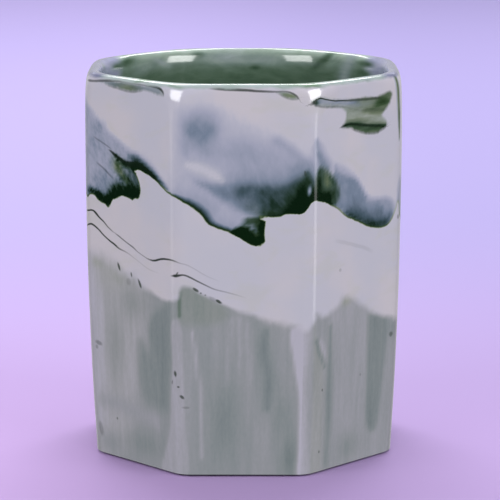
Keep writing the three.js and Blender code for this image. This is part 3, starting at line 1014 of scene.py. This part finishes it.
right_streaks = [
    wash(0.60, 0.0, 3.0, [(19, 46), (50, 46), (52, 20), (50, -4), (19, -4)]),
    wash(0.60, 0.3, 0.6, [(18.4, 40), (19.5, 36), (21.5, 30), (22.3, 24), (22.3, 10), (22, -1),
                          (18.3, -1), (18.3, 20), (18.3, 34)]),
    dab(0.44, 0.0, 21, 38.5, 2.4, 3.5),
    brush(0.10, 0.2, 0.7, [(19.3, 35), (20.3, 32.5), (21.5, 30), (22.2, 28, 0.5)]),
    brush(0.85, 0.0, 0.9, [(20.6, 34.8, 0.7), (21.7, 32.6), (22.7, 31), (23.4, 29.3, 0.6)]),
    brush(0.20, 0.1, 1.3, [(24.2, 38, 0.6), (24.2, 20), (24, 2)]),
    wash(0.18, 0.12, 0.9, [(38.7, 38.5), (41, 38.4), (44, 37.6), (46, 36.5), (46, 30), (45, 20), (43.5, 8),
                           (39.5, 10), (38.9, 24)]),
    dab(0.30, 0.0, 48, 34, 2.2, 2.8),
    brush(0.58, 0.0, 2.4, [(48, 29, 0.8), (48.2, 12), (48, 0)]),
    dab(0.62, 0.8, 30, 43.8, 1.9, 1.1),
    dab(0.24, 0.1, 33, 5, 4, 4),
]
side_streaks = [
    brush(0.9, 0.0, 2.6, [(59, 44), (60, 28), (59, 8)]),
    brush(0.08, 0.2, 2.4, [(68, 48), (69, 30), (67, 10)]),
    brush(0.8, 0.0, 2.0, [(76, 42), (77, 22), (78, 4)]),
    brush(0.8, 0.0, 2.4, [(-58, 48), (-58, 30), (-60, 12)]),
    brush(0.1, 0.2, 3.0, [(-67, 42), (-69, 24), (-67, 6)]),
    brush(0.85, 0.0, 2.2, [(-76, 44), (-77, 26), (-76, 8)]),
]
lower_canvas = canvas_of(0.46, 0.05)
paint(lower_canvas, left_streaks + middle_streaks + right_streaks, front_sheet, back_sheet)
paint(lower_canvas, side_streaks, front_sheet)
add_field("paleness", lower_canvas[:, 0])
add_field("lower_green", lower_canvas[:, 1])

# %% [markdown]
# The marbling, part six: inside
#
# Up runs on over the lip and down the inside, so the same tools paint there as well. Seen from the front,
# only the back of the inside shows, and it is green, with darker folds and lavender where the white clay
# comes over the lip on the left and right. Its green is painted pale and greyish under the lip and deeper
# further down, as painted light and shade in the well. Tone is the depth of the green here, and the second
# number is the share of lavender.

# %% The inside
inside_strokes = [
    wash(0.1, 1.0, 2.6, [(-88, 94), (-56, 94), (-57, 103), (-60, 107), (-70, 110), (-84, 110)]),
    wash(0.1, 1.0, 2.6, [(88, 94), (58, 94), (57, 102), (58, 106), (66, 110), (84, 110)]),
    dab(0.45, 0.5, -58.9, 101.3, 1.6, 0.7),
    dab(0.36, 0.1, -35, 103.9, 5, 1.6, -10),
    dab(0.85, 0.0, -42.5, 101.8, 4, 0.9, -8),
    dab(0.70, 0.0, -48, 102.4, 4, 1),
    dab(0.30, 0.3, -28, 103, 3, 0.8, 20),
    dab(0.90, 0.0, -14, 101.7, 1.8, 0.8),
    dab(0.20, 0.3, -5, 102.5, 7, 1.6),
    dab(0.30, 0.2, 6, 103, 7, 1.4),
    dab(1.0, 0.0, 3.5, 105.3, 1.6, 0.6),
    dab(0.95, 0.0, 28, 101.9, 2.6, 1.1, -35),
    dab(0.85, 0.0, 25, 103.8, 3.5, 0.9, -35),
    brush(0.28, 0.3, 2.2, [(38, 100.8), (37.5, 102), (36.2, 104.5), (35.5, 107)]),
    dab(0.90, 0.0, 46, 102, 4.6, 0.9),
    dab(0.80, 0.0, 45, 104.6, 5, 1),
]
# Painted light and shade: pale and greyish just under the lip, the green deepening further down the well.
painted_shade_by_depth = 0.14 + 0.28 * smooth_step(100.5, 102.5, up) + 0.36 * smooth_step(102, 108, up)
inside_canvas = np.stack([painted_shade_by_depth, np.zeros(len(across))], axis=1)
paint(inside_canvas, inside_strokes, inside_sheet, front_sheet)
add_field("inside_tone", inside_canvas[:, 0])
add_field("inside_lavender", inside_canvas[:, 1])

# %% [markdown]
# Across and up are also handed to the material, for a few specks that are finer than the mesh. They are
# stored for each corner of each face, so that the face at the very back, where across jumps from one end
# to the other, still holds two values that belong together.

# %% Across and up for the material
corner_points = np.empty(len(cup.data.loops), int)
cup.data.loops.foreach_get("vertex_index", corner_points)
face_of_corner = np.repeat(np.arange(len(cup.data.polygons)), [p.loop_total for p in cup.data.polygons])
corner_across = across[corner_points]
highest = np.full(len(cup.data.polygons), -1e9)
np.maximum.at(highest, face_of_corner, corner_across)
corner_across += np.where(highest[face_of_corner] - corner_across > HALF_ROUND, ROUND, 0)
unrolled = np.stack([corner_across, up[corner_points], np.zeros(len(corner_across))], axis=1)
sheet = cup.data.attributes.new("unrolled", "FLOAT_VECTOR", "CORNER")
sheet.data.foreach_set("vector", unrolled.astype(np.float32).ravel())

# %% [markdown]
# Building the glaze
#
# A node tree in code is easier to read with three small helpers: one adds any node and fills or links its
# sockets, one does sums, and one mixes two colours. Colours are written as a camera would record them,
# 0 to 255, and turned into the light that the surface really sends back.

# %% Helpers for node trees
PICTURE_LIGHT = 0.66  # the share of a surface's own brightness that reaches the picture


def seen(red, green, blue):
    """The surface colour that looks like this in the picture."""
    linear = [((c / 255 + 0.055) / 1.055) ** 2.4 if c > 10 else c / 255 / 12.92 for c in (red, green, blue)]
    return (*[min(c / PICTURE_LIGHT, 1) for c in linear], 1)


def add_node(tree, kind, inputs=None, **settings):
    made = tree.nodes.new(kind)
    for name, value in settings.items():
        setattr(made, name, value)
    for name, value in (inputs or {}).items():
        if isinstance(value, bpy.types.NodeSocket):
            tree.links.new(value, made.inputs[name])
        else:
            made.inputs[name].default_value = value
    return made


def sums(tree, operation, *values, clamp=False):
    inputs = dict(enumerate(values))
    return add_node(tree, "ShaderNodeMath", inputs, operation=operation, use_clamp=clamp).outputs[0]


def mixed(tree, share, below, above):
    """The colour below where share is 0, and the colour above where it is 1."""
    inputs = {0: share, 6: below, 7: above}
    return add_node(tree, "ShaderNodeMix", inputs, data_type="RGBA", clamp_factor=True).outputs[2]


def rise(tree, value, low, high):
    """0 below low, 1 above high, smooth between; turned round if low is the larger."""
    inputs = {"Value": value, "From Min": low, "From Max": high}
    made = add_node(tree, "ShaderNodeMapRange", inputs, interpolation_type="SMOOTHSTEP")
    return made.outputs["Result"]


def field(tree, name):
    return add_node(tree, "ShaderNodeAttribute", attribute_name=name).outputs["Fac"]


def grain(tree, place, size, detail=2.0, stretch=(1, 1, 1), warp=0.0):
    """Noise from 0 to 1 whose features are about size across, drawn out by stretch."""
    scale = tuple(1 / (size * s) for s in stretch)
    moved = add_node(tree, "ShaderNodeMapping", {"Vector": place, "Scale": scale}).outputs["Vector"]
    inputs = {"Vector": moved, "Scale": 1.0, "Detail": detail, "Distortion": warp}
    return add_node(tree, "ShaderNodeTexNoise", inputs).outputs["Fac"]


def colour_steps(tree, value, steps):
    ramp = add_node(tree, "ShaderNodeValToRGB", {"Fac": value})
    stops = ramp.color_ramp.elements
    stops[0].position, stops[0].color = steps[0]
    stops[1].position, stops[1].color = steps[-1]
    for position, colour in steps[1:-1]:
        stops.new(position).color = colour
    return ramp.outputs["Color"]


# %% [markdown]
# The glazed marbling
#
# The material stacks the layers in the order in which the eye meets them: white clay, the streaky lower
# half, the colour above the long edge with the dark band along it, the islands, the fine lines and specks,
# and last the lip and the inside. A little noise moves every edge, so that none looks cut with a knife.

# %% The marbled glaze: white clay and the lower half
glaze = bpy.data.materials.new("marbled_glaze")
glaze.use_nodes = True
tree = glaze.node_tree
tree.nodes.clear()
place = add_node(tree, "ShaderNodeTexCoord").outputs["Object"]
sheet_place = add_node(tree, "ShaderNodeAttribute", attribute_name="unrolled").outputs["Vector"]
sheet_up = add_node(tree, "ShaderNodeSeparateXYZ", {0: sheet_place}).outputs["Y"]

WARM_WHITE = seen(190, 184, 193)
COOL_WHITE = seen(182, 180, 194)
mottle = grain(tree, place, 22 * MM, 3)
colour = mixed(tree, rise(tree, mottle, 0.35, 0.65), COOL_WHITE, WARM_WHITE)
stain = grain(tree, place, 7 * MM, 4, (1.6, 1.6, 0.8), 0.5)
stain = sums(tree, "MULTIPLY", rise(tree, stain, 0.52, 0.7), 0.35)
colour = mixed(tree, stain, colour, seen(180, 178, 176))

wobble = sums(tree, "SUBTRACT", grain(tree, place, 3.5 * MM, 3), 0.5)
fine_wobble = sums(tree, "SUBTRACT", grain(tree, place, 1.1 * MM, 2, (1, 1, 2)), 0.5)

broad_streaks = grain(tree, place, 5 * MM, 3, (1, 1, 9), 0.4)
fine_streaks = grain(tree, place, 1.5 * MM, 3, (1, 1, 12))
tooth = grain(tree, place, 0.6 * MM, 2, (1, 1, 2.5))
paleness = field(tree, "paleness")
for streaks, weight in ((broad_streaks, 0.5), (fine_streaks, 0.34), (tooth, 0.2)):
    paleness = sums(tree, "MULTIPLY_ADD", sums(tree, "SUBTRACT", streaks, 0.5), weight, paleness)
grey_clay = colour_steps(tree, paleness, [
    (0.0, seen(117, 125, 130)),
    (0.25, seen(131, 137, 141)),
    (0.5, seen(143, 145, 151)),
    (0.75, seen(157, 156, 165)),
    (1.0, seen(172, 169, 183)),
])
olive_clay = colour_steps(tree, paleness, [
    (0.0, seen(96, 112, 98)),
    (0.5, seen(138, 142, 132)),
    (1.0, seen(168, 168, 160)),
])
lower_colour = mixed(tree, field(tree, "lower_green"), grey_clay, olive_clay)
lower = sums(tree, "DIVIDE", field(tree, "lower_edge"), field(tree, "lower_soft"))
lower = sums(tree, "MULTIPLY_ADD", wobble, 2.0, lower)
colour = mixed(tree, rise(tree, lower, -1.2, 1.6), colour, lower_colour)

# %% [markdown]
# The band along the long edge is computed here and not in the mesh, so it can be a third of a millimetre
# thin. Right at the edge the clay is green, and a little further in it is slate. The painted tone runs
# through two scales of colour, one blue and one green, both read from the photograph of the real cup.

# %% The marbled glaze: the soft colour and the dark band


def clay_colour(tone, green):
    blue_side = colour_steps(tree, tone, [
        (0.0, seen(187, 184, 197)),
        (0.28, seen(156, 158, 178)),
        (0.52, seen(114, 126, 146)),
        (0.74, seen(68, 85, 98)),
        (0.9, seen(28, 48, 42)),
        (1.0, seen(11, 30, 17)),
    ])
    green_side = colour_steps(tree, tone, [
        (0.0, seen(187, 184, 197)),
        (0.25, seen(158, 164, 158)),
        (0.5, seen(114, 124, 100)),
        (0.75, seen(60, 80, 52)),
        (1.0, seen(11, 34, 14)),
    ])
    return mixed(tree, green, blue_side, green_side)


edge = sums(tree, "MULTIPLY_ADD", wobble, 0.5, field(tree, "wash_edge"))
edge = sums(tree, "MULTIPLY_ADD", fine_wobble, 0.35, edge)
above_edge = rise(tree, edge, -0.22, 0.3)
depth_in = sums(tree, "DIVIDE", sums(tree, "MAXIMUM", edge, 0.0), field(tree, "band_width"))
band = sums(tree, "EXPONENT", sums(tree, "MULTIPLY", sums(tree, "POWER", depth_in, 1.8), -1.0))
band = sums(tree, "MULTIPLY", band, field(tree, "band_dark"))
shade = sums(tree, "EXPONENT", sums(tree, "MULTIPLY", depth_in, -0.6))
shade = sums(tree, "MULTIPLY", shade, sums(tree, "MULTIPLY", field(tree, "band_dark"), 0.35))

soft_noise = grain(tree, place, 6 * MM, 4, (1, 1, 1.3), 0.6)
unevenly = sums(tree, "MULTIPLY_ADD", soft_noise, 0.7, 0.65)
painted = sums(tree, "MULTIPLY", field(tree, "tone"), unevenly)
painted = sums(tree, "MULTIPLY_ADD", fine_wobble, 0.08, painted)
FINGER_SLANT = math.radians(42)
slanted = add_node(tree, "ShaderNodeMapping", {"Vector": place, "Rotation": (0, FINGER_SLANT, 0)})
fingers = sums(tree, "SUBTRACT", grain(tree, slanted.outputs["Vector"], 1.0 * MM, 3, (1, 1, 5)), 0.5)
fingers = sums(tree, "MULTIPLY_ADD", fingers, field(tree, "combed"), 1.0)
painted = sums(tree, "MULTIPLY", painted, fingers)
pigment = sums(tree, "MAXIMUM", sums(tree, "ADD", painted, shade), band)
pigment = sums(tree, "MULTIPLY", pigment, above_edge, clamp=True)
green_share = sums(tree, "MAXIMUM", field(tree, "greenness"), rise(tree, edge, 0.9, 0.1))
colour = mixed(tree, rise(tree, pigment, 0.0, 0.12), colour, clay_colour(pigment, green_share))

# %% The marbled glaze: islands and fine lines
island = sums(tree, "MULTIPLY_ADD", wobble, 0.8, field(tree, "island_edge"))
island = sums(tree, "MULTIPLY_ADD", fine_wobble, 0.7, island)
island_grain = sums(tree, "SUBTRACT", grain(tree, place, 3 * MM, 4, (2, 2, 0.6)), 0.5)
island_depth = sums(tree, "MULTIPLY_ADD", island_grain, 0.5, field(tree, "island_tone"))
island_colour = clay_colour(island_depth, field(tree, "island_green"))
colour = mixed(tree, rise(tree, island, -0.4, 0.65), colour, island_colour)

for layer in front_lines:
    away = sums(tree, "ABSOLUTE", sums(tree, "MULTIPLY_ADD", wobble, 0.9, field(tree, layer)))
    line = rise(tree, away, 1.4, 0.4)
    line = sums(tree, "MULTIPLY", line, field(tree, layer + "_strength"))
    colour = mixed(tree, sums(tree, "MULTIPLY", line, 0.95), colour, seen(18, 34, 22))

# %% The marbled glaze: specks
specks = [
    # across, up, half width, half height, tilt, strength
    (-38.05, 51.6, 0.42, 1.2, 22, 0.85), (-33.4, 50.2, 0.32, 0.7, 12, 0.75),
    (-30.3, 48.3, 0.48, 1.4, 28, 0.85), (-34.5, 48.2, 1.0, 1.0, 0, 0.22),
    (-12.0, 48.75, 0.9, 0.4, -34, 0.85), (-10.7, 47.9, 0.3, 0.26, 0, 0.6),
    (-9.6, 47.4, 0.28, 0.26, 0, 0.5), (-6.3, 45.8, 0.95, 0.42, -32, 0.9), (-7.6, 46.3, 1.3, 0.6, -32, 0.28),
    (-17.9, 27.0, 0.5, 0.85, 8, 0.85), (-17.0, 23.6, 0.45, 0.3, 0, 0.75), (-19.0, 24.6, 0.24, 0.6, -8, 0.5),
    (-16.05, 21.05, 0.8, 0.45, -32, 0.8), (-15.0, 18.3, 1.1, 0.32, 0, 0.3),
    (-47.0, 30.2, 1.5, 0.65, -10, 0.45),
    (-47.8, 29.0, 0.6, 0.6, 0, 0.35), (-48.0, 7.0, 1.1, 2.2, 14, 0.35), (-41.0, 11.0, 0.36, 0.36, 0, 0.5),
    (21.8, 22.0, 0.3, 0.42, 0, 0.55), (21.2, 5.8, 0.3, 0.42, 0, 0.55), (36.3, 23.5, 0.4, 0.4, 0, 0.25),
    (27.5, 52.2, 0.55, 0.5, 0, 0.25), (47.8, 32.3, 0.9, 0.75, 0, 0.55), (49.5, 63.0, 0.6, 0.7, 0, 0.5),
    (-16.8, 52.8, 0.28, 0.6, -40, 0.7), (15.2, 78.0, 0.35, 0.8, 10, 0.6),
    (61.0, 40.5, 0.35, 1.1, 18, 0.7), (64.0, 30.0, 0.5, 0.5, 0, 0.5), (-70.0, 34.0, 0.5, 0.8, 0, 0.6),
    (-66.5, 29.0, 0.4, 0.4, 0, 0.5), (118.0, 26.0, 0.6, 0.8, 10, 0.6), (121.0, 22.0, 0.4, 0.5, 0, 0.5),
]
speck_shade = 0.0
for a, u, half_width, half_height, tilt, strength in specks:
    inputs = {
        "Vector": sheet_place,
        "Location": (a, u, 0),
        "Rotation": (0, 0, math.radians(tilt)),
        "Scale": (half_width, half_height, 1),
    }
    local = add_node(tree, "ShaderNodeMapping", inputs, vector_type="TEXTURE").outputs["Vector"]
    away = add_node(tree, "ShaderNodeVectorMath", {0: local}, operation="LENGTH").outputs["Value"]
    away = sums(tree, "MULTIPLY_ADD", fine_wobble, 0.7, away)
    spot = sums(tree, "MULTIPLY", rise(tree, away, 1.25, 0.5), strength)
    speck_shade = sums(tree, "MAXIMUM", spot, speck_shade)
colour = mixed(tree, speck_shade, colour, seen(46, 58, 46))
print("specks:", len(specks))

# %% [markdown]
# The lip is washed with pale green, with a few darker smears, and at the two ends of the mouth with lavender,
# partly the clay's own and partly painted shade. Inside, the green clay takes over: soft smoky greens with
# darker folds, painted darker further down the well, and lavender white on either side.

# %% The marbled glaze: the lip and the inside
lip_up = sums(tree, "MULTIPLY_ADD", wobble, 1.2, sheet_up)
smears = grain(tree, place, 9 * MM, 3, (1, 1, 0.25), 0.5)
lip_colour = colour_steps(tree, smears, [
    (0.36, seen(156, 167, 168)),
    (0.5, seen(146, 160, 156)),
    (0.64, seen(104, 128, 106)),
])
lavender = sums(tree, "MULTIPLY", field(tree, "inside_lavender"), 0.9)
# At the ends of the mouth the lip's lavender is painted dark: partly the lavender clay, partly painted shade.
lip_colour = mixed(tree, lavender, lip_colour, seen(100, 100, 132))
colour = mixed(tree, rise(tree, lip_up, 98.5, 99.5), colour, lip_colour)

folds = sums(tree, "SUBTRACT", grain(tree, place, 12 * MM, 5, (1, 1, 0.5), 1.2), 0.5)
wisps = sums(tree, "SUBTRACT", grain(tree, place, 4 * MM, 4, (1.6, 1.6, 0.6), 0.8), 0.5)
green_depth = sums(tree, "MULTIPLY_ADD", folds, 0.45, field(tree, "inside_tone"))
green_depth = sums(tree, "MULTIPLY_ADD", wisps, 0.35, green_depth)
inside_green = colour_steps(tree, green_depth, [
    (0.0, seen(172, 184, 180)),
    (0.2, seen(144, 160, 148)),
    (0.45, seen(110, 129, 117)),
    (0.72, seen(82, 103, 86)),
    (1.0, seen(54, 76, 58)),
])
inside_colour = mixed(tree, lavender, inside_green, seen(138, 138, 171))
colour = mixed(tree, rise(tree, lip_up, 99.6, 100.8), colour, inside_colour)

# %% [markdown]
# The glaze over it all is glass: smooth, clear, with a faint orange-peel that only the brightest
# reflections show. Its gloss is set on the shader's own sockets, because it is the same everywhere.

# %% The marbled glaze: gloss
peel = grain(tree, place, 2.5 * MM, 1)
bump = add_node(tree, "ShaderNodeBump", {"Height": peel, "Strength": 0.12, "Distance": 0.02 * MM})
shader = add_node(tree, "ShaderNodeBsdfPrincipled", {
    "Base Color": colour,
    "Roughness": 0.16,
    "IOR": 1.5,
    "Coat Weight": 0.6,
    "Coat Roughness": 0.03,
    "Coat IOR": 1.5,
    "Normal": bump.outputs["Normal"],
    "Coat Normal": bump.outputs["Normal"],
})
add_node(tree, "ShaderNodeOutputMaterial", {"Surface": shader.outputs["BSDF"]})
cup.data.materials.append(glaze)
print("marbled glaze:", len(tree.nodes), "nodes")

# %% [markdown]
# Bare clay
#
# Fired clay without glaze is matt and a little gritty: an off-white with fine pits and a darker speckle.
# Along the rounded lower edge it is painted almost black, as painted shade where the foot meets the ground.

# %% The bare clay of the foot
bare = bpy.data.materials.new("bare_clay")
bare.use_nodes = True
tree = bare.node_tree
tree.nodes.clear()
place = add_node(tree, "ShaderNodeTexCoord").outputs["Object"]
blotch = grain(tree, place, 9 * MM, 4)
grit = grain(tree, place, 0.5 * MM, 2)
clay = mixed(tree, rise(tree, blotch, 0.35, 0.7), seen(176, 172, 172), seen(158, 154, 152))
clay = mixed(tree, sums(tree, "MULTIPLY", rise(tree, grit, 0.62, 0.75), 0.5), clay, seen(120, 118, 112))
height = add_node(tree, "ShaderNodeSeparateXYZ", {0: place}).outputs["Z"]
# Painted contact shade: the rounded lower edge, just off the ground, is darkened almost to black.
off_the_ground = rise(tree, height, 0.01 * MM, 0.08 * MM)
painted_contact_shade = sums(tree, "MULTIPLY", rise(tree, height, 1.2 * MM, 0.3 * MM), off_the_ground)
clay = mixed(tree, painted_contact_shade, clay, seen(30, 26, 36))
bump = add_node(tree, "ShaderNodeBump", {"Height": grit, "Strength": 0.5, "Distance": 0.06 * MM})
shader = add_node(tree, "ShaderNodeBsdfPrincipled", {
    "Base Color": clay,
    "Roughness": 0.85,
    "Normal": bump.outputs["Normal"],
})
add_node(tree, "ShaderNodeOutputMaterial", {"Surface": shader.outputs["BSDF"]})
foot.data.materials.append(bare)

# %% [markdown]
# The stage
#
# A pale floor whose colour carries painted light and shade: a little pinker near the cup, a little bluer
# further off, and painted darker and bluer to the right. It is kept out of the reflections and the bounced
# light, so the dark clay stays dark.

# %% Floor
FLOOR_SIZE = 6.0
bpy.ops.object.select_all(action="DESELECT")
bpy.ops.mesh.primitive_plane_add(size=FLOOR_SIZE)
ground = bpy.context.object
ground.name = "floor"
paper = bpy.data.materials.new("pale_paper")
paper.use_nodes = True
tree = paper.node_tree
paper_shader = tree.nodes["Principled BSDF"]
place = add_node(tree, "ShaderNodeTexCoord").outputs["Object"]
axes = add_node(tree, "ShaderNodeSeparateXYZ", {0: place}).outputs
NEAR_PAPER = (0.56, 0.39, 0.715, 1)
FAR_PAPER = (0.455, 0.385, 0.705, 1)
RIGHT_PAPER_SHADE = (0.22, 0.22, 0.42, 1)
# Painted light and shade: pinker near the cup, bluer further off, and darker and bluer to the right.
painted_falloff = rise(tree, axes["Y"], -0.05, 0.35)
painted_shade_right = sums(tree, "MULTIPLY", rise(tree, axes["X"], -0.1, 0.12), 0.25)
paper_colour = mixed(tree, painted_falloff, NEAR_PAPER, FAR_PAPER)
paper_colour = mixed(tree, painted_shade_right, paper_colour, RIGHT_PAPER_SHADE)
tree.links.new(paper_colour, paper_shader.inputs["Base Color"])
paper_shader.inputs["Roughness"].default_value = 0.9
paper_shader.inputs["Specular IOR Level"].default_value = 0.1
ground.data.materials.append(paper)
ground.visible_glossy = False
ground.visible_diffuse = False

# %% [markdown]
# The lamps
#
# Two soft fills in front light the faces. Two highlight lamps beside them only make the bright reflections
# on the corners of the lip. Behind the cup a broad lamp draws the bright line along the crest, and a fill
# lifts the inside of the front wall and the corners of the mouth. Two small glints low down, left and
# right, brighten the upright edges at the sides.

# %% Lamps
AIM = (0, 0, 55 * MM)


def add_lamp(name, azimuth, elevation, distance, width, height, power, glossy=True, diffuse=True):
    """A soft lamp that faces the cup. Azimuth 0 is the camera's side, and it grows to the right."""
    turn, lift = math.radians(azimuth), math.radians(elevation)
    lamp = bpy.data.lights.new(name, "AREA")
    lamp.shape = "RECTANGLE"
    lamp.size, lamp.size_y, lamp.energy = width, height, power
    holder = bpy.data.objects.new(name, lamp)
    bpy.context.collection.objects.link(holder)
    holder.location = (
        AIM[0] + distance * math.cos(lift) * math.sin(turn),
        AIM[1] - distance * math.cos(lift) * math.cos(turn),
        AIM[2] + distance * math.sin(lift),
    )
    holder.rotation_euler = (math.pi / 2 - lift, 0, turn)
    holder.visible_glossy = glossy
    holder.visible_diffuse = diffuse
    return holder


add_lamp("left_fill", -55, 35, 1.4, 0.9, 0.8, 3.4, glossy=False)
add_lamp("right_fill", 55, 35, 1.4, 0.9, 0.8, 4.7, glossy=False)
add_lamp("left_highlight", -50, 22, 0.8, 0.5, 0.42, 4.6, diffuse=False)
add_lamp("right_highlight", 60, 22, 0.8, 0.48, 0.42, 5.2, diffuse=False)
add_lamp("back_lamp", 180, 50, 1.5, 1.5, 0.36, 13)
add_lamp("back_fill", 180, 62, 1.5, 1.2, 0.8, 7, glossy=False)
add_lamp("right_glint", 66, -6, 0.26, 0.06, 0.1, 0.026, diffuse=False)
add_lamp("left_glint", -67, -6, 0.26, 0.05, 0.1, 0.008, diffuse=False)

# %% [markdown]
# The sky gives the same soft light from everywhere. In the glaze it is dark, apart from a pale backdrop
# behind the cup, so the reflections come from the lamps.

# %% Sky
world = bpy.data.worlds.new("studio")
world.use_nodes = True
bpy.context.scene.world = world
sky_tree = world.node_tree
sky = sky_tree.nodes["Background"]
sky.inputs["Color"].default_value = (0.97, 0.97, 1.0, 1)
AMBIENT = 0.56
BACKDROP = 0.5
outwards = add_node(sky_tree, "ShaderNodeTexCoord").outputs["Generated"]
away = add_node(sky_tree, "ShaderNodeSeparateXYZ", {0: outwards}).outputs["Y"]
backdrop = sums(sky_tree, "MULTIPLY", rise(sky_tree, away, 0.55, 0.95), BACKDROP)
mirrored = add_node(sky_tree, "ShaderNodeLightPath").outputs["Is Glossy Ray"]
strength = add_node(sky_tree, "ShaderNodeMix", {0: mirrored, 2: AMBIENT, 3: backdrop}, data_type="FLOAT")
sky_tree.links.new(strength.outputs[0], sky.inputs["Strength"])

# %% [markdown]
# The camera
#
# It stands two thirds of a metre away and looks down a little, through a long lens. The cup sits a touch
# left of the middle of the frame, which a slight turn to the right gives.

# %% Camera
LENS = 172.5
CAMERA_PLACE = (0, -0.621, 0.1749)
LOOK_DOWN = math.radians(11.30)
LOOK_RIGHT = math.radians(0.155)
camera = bpy.data.objects.new("camera", bpy.data.cameras.new("camera"))
camera.data.lens = LENS
camera.location = CAMERA_PLACE
camera.rotation_euler = (math.pi / 2 - LOOK_DOWN, 0, -LOOK_RIGHT)
bpy.context.collection.objects.link(camera)
scene = bpy.context.scene
scene.camera = camera
scene.view_settings.view_transform = "Standard"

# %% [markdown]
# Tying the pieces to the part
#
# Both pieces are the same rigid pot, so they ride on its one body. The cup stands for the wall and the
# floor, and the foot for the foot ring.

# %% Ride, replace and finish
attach(cup, "root")
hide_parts("cup_wall", "cup_floor")
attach(foot, "root")
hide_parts("foot_ring")
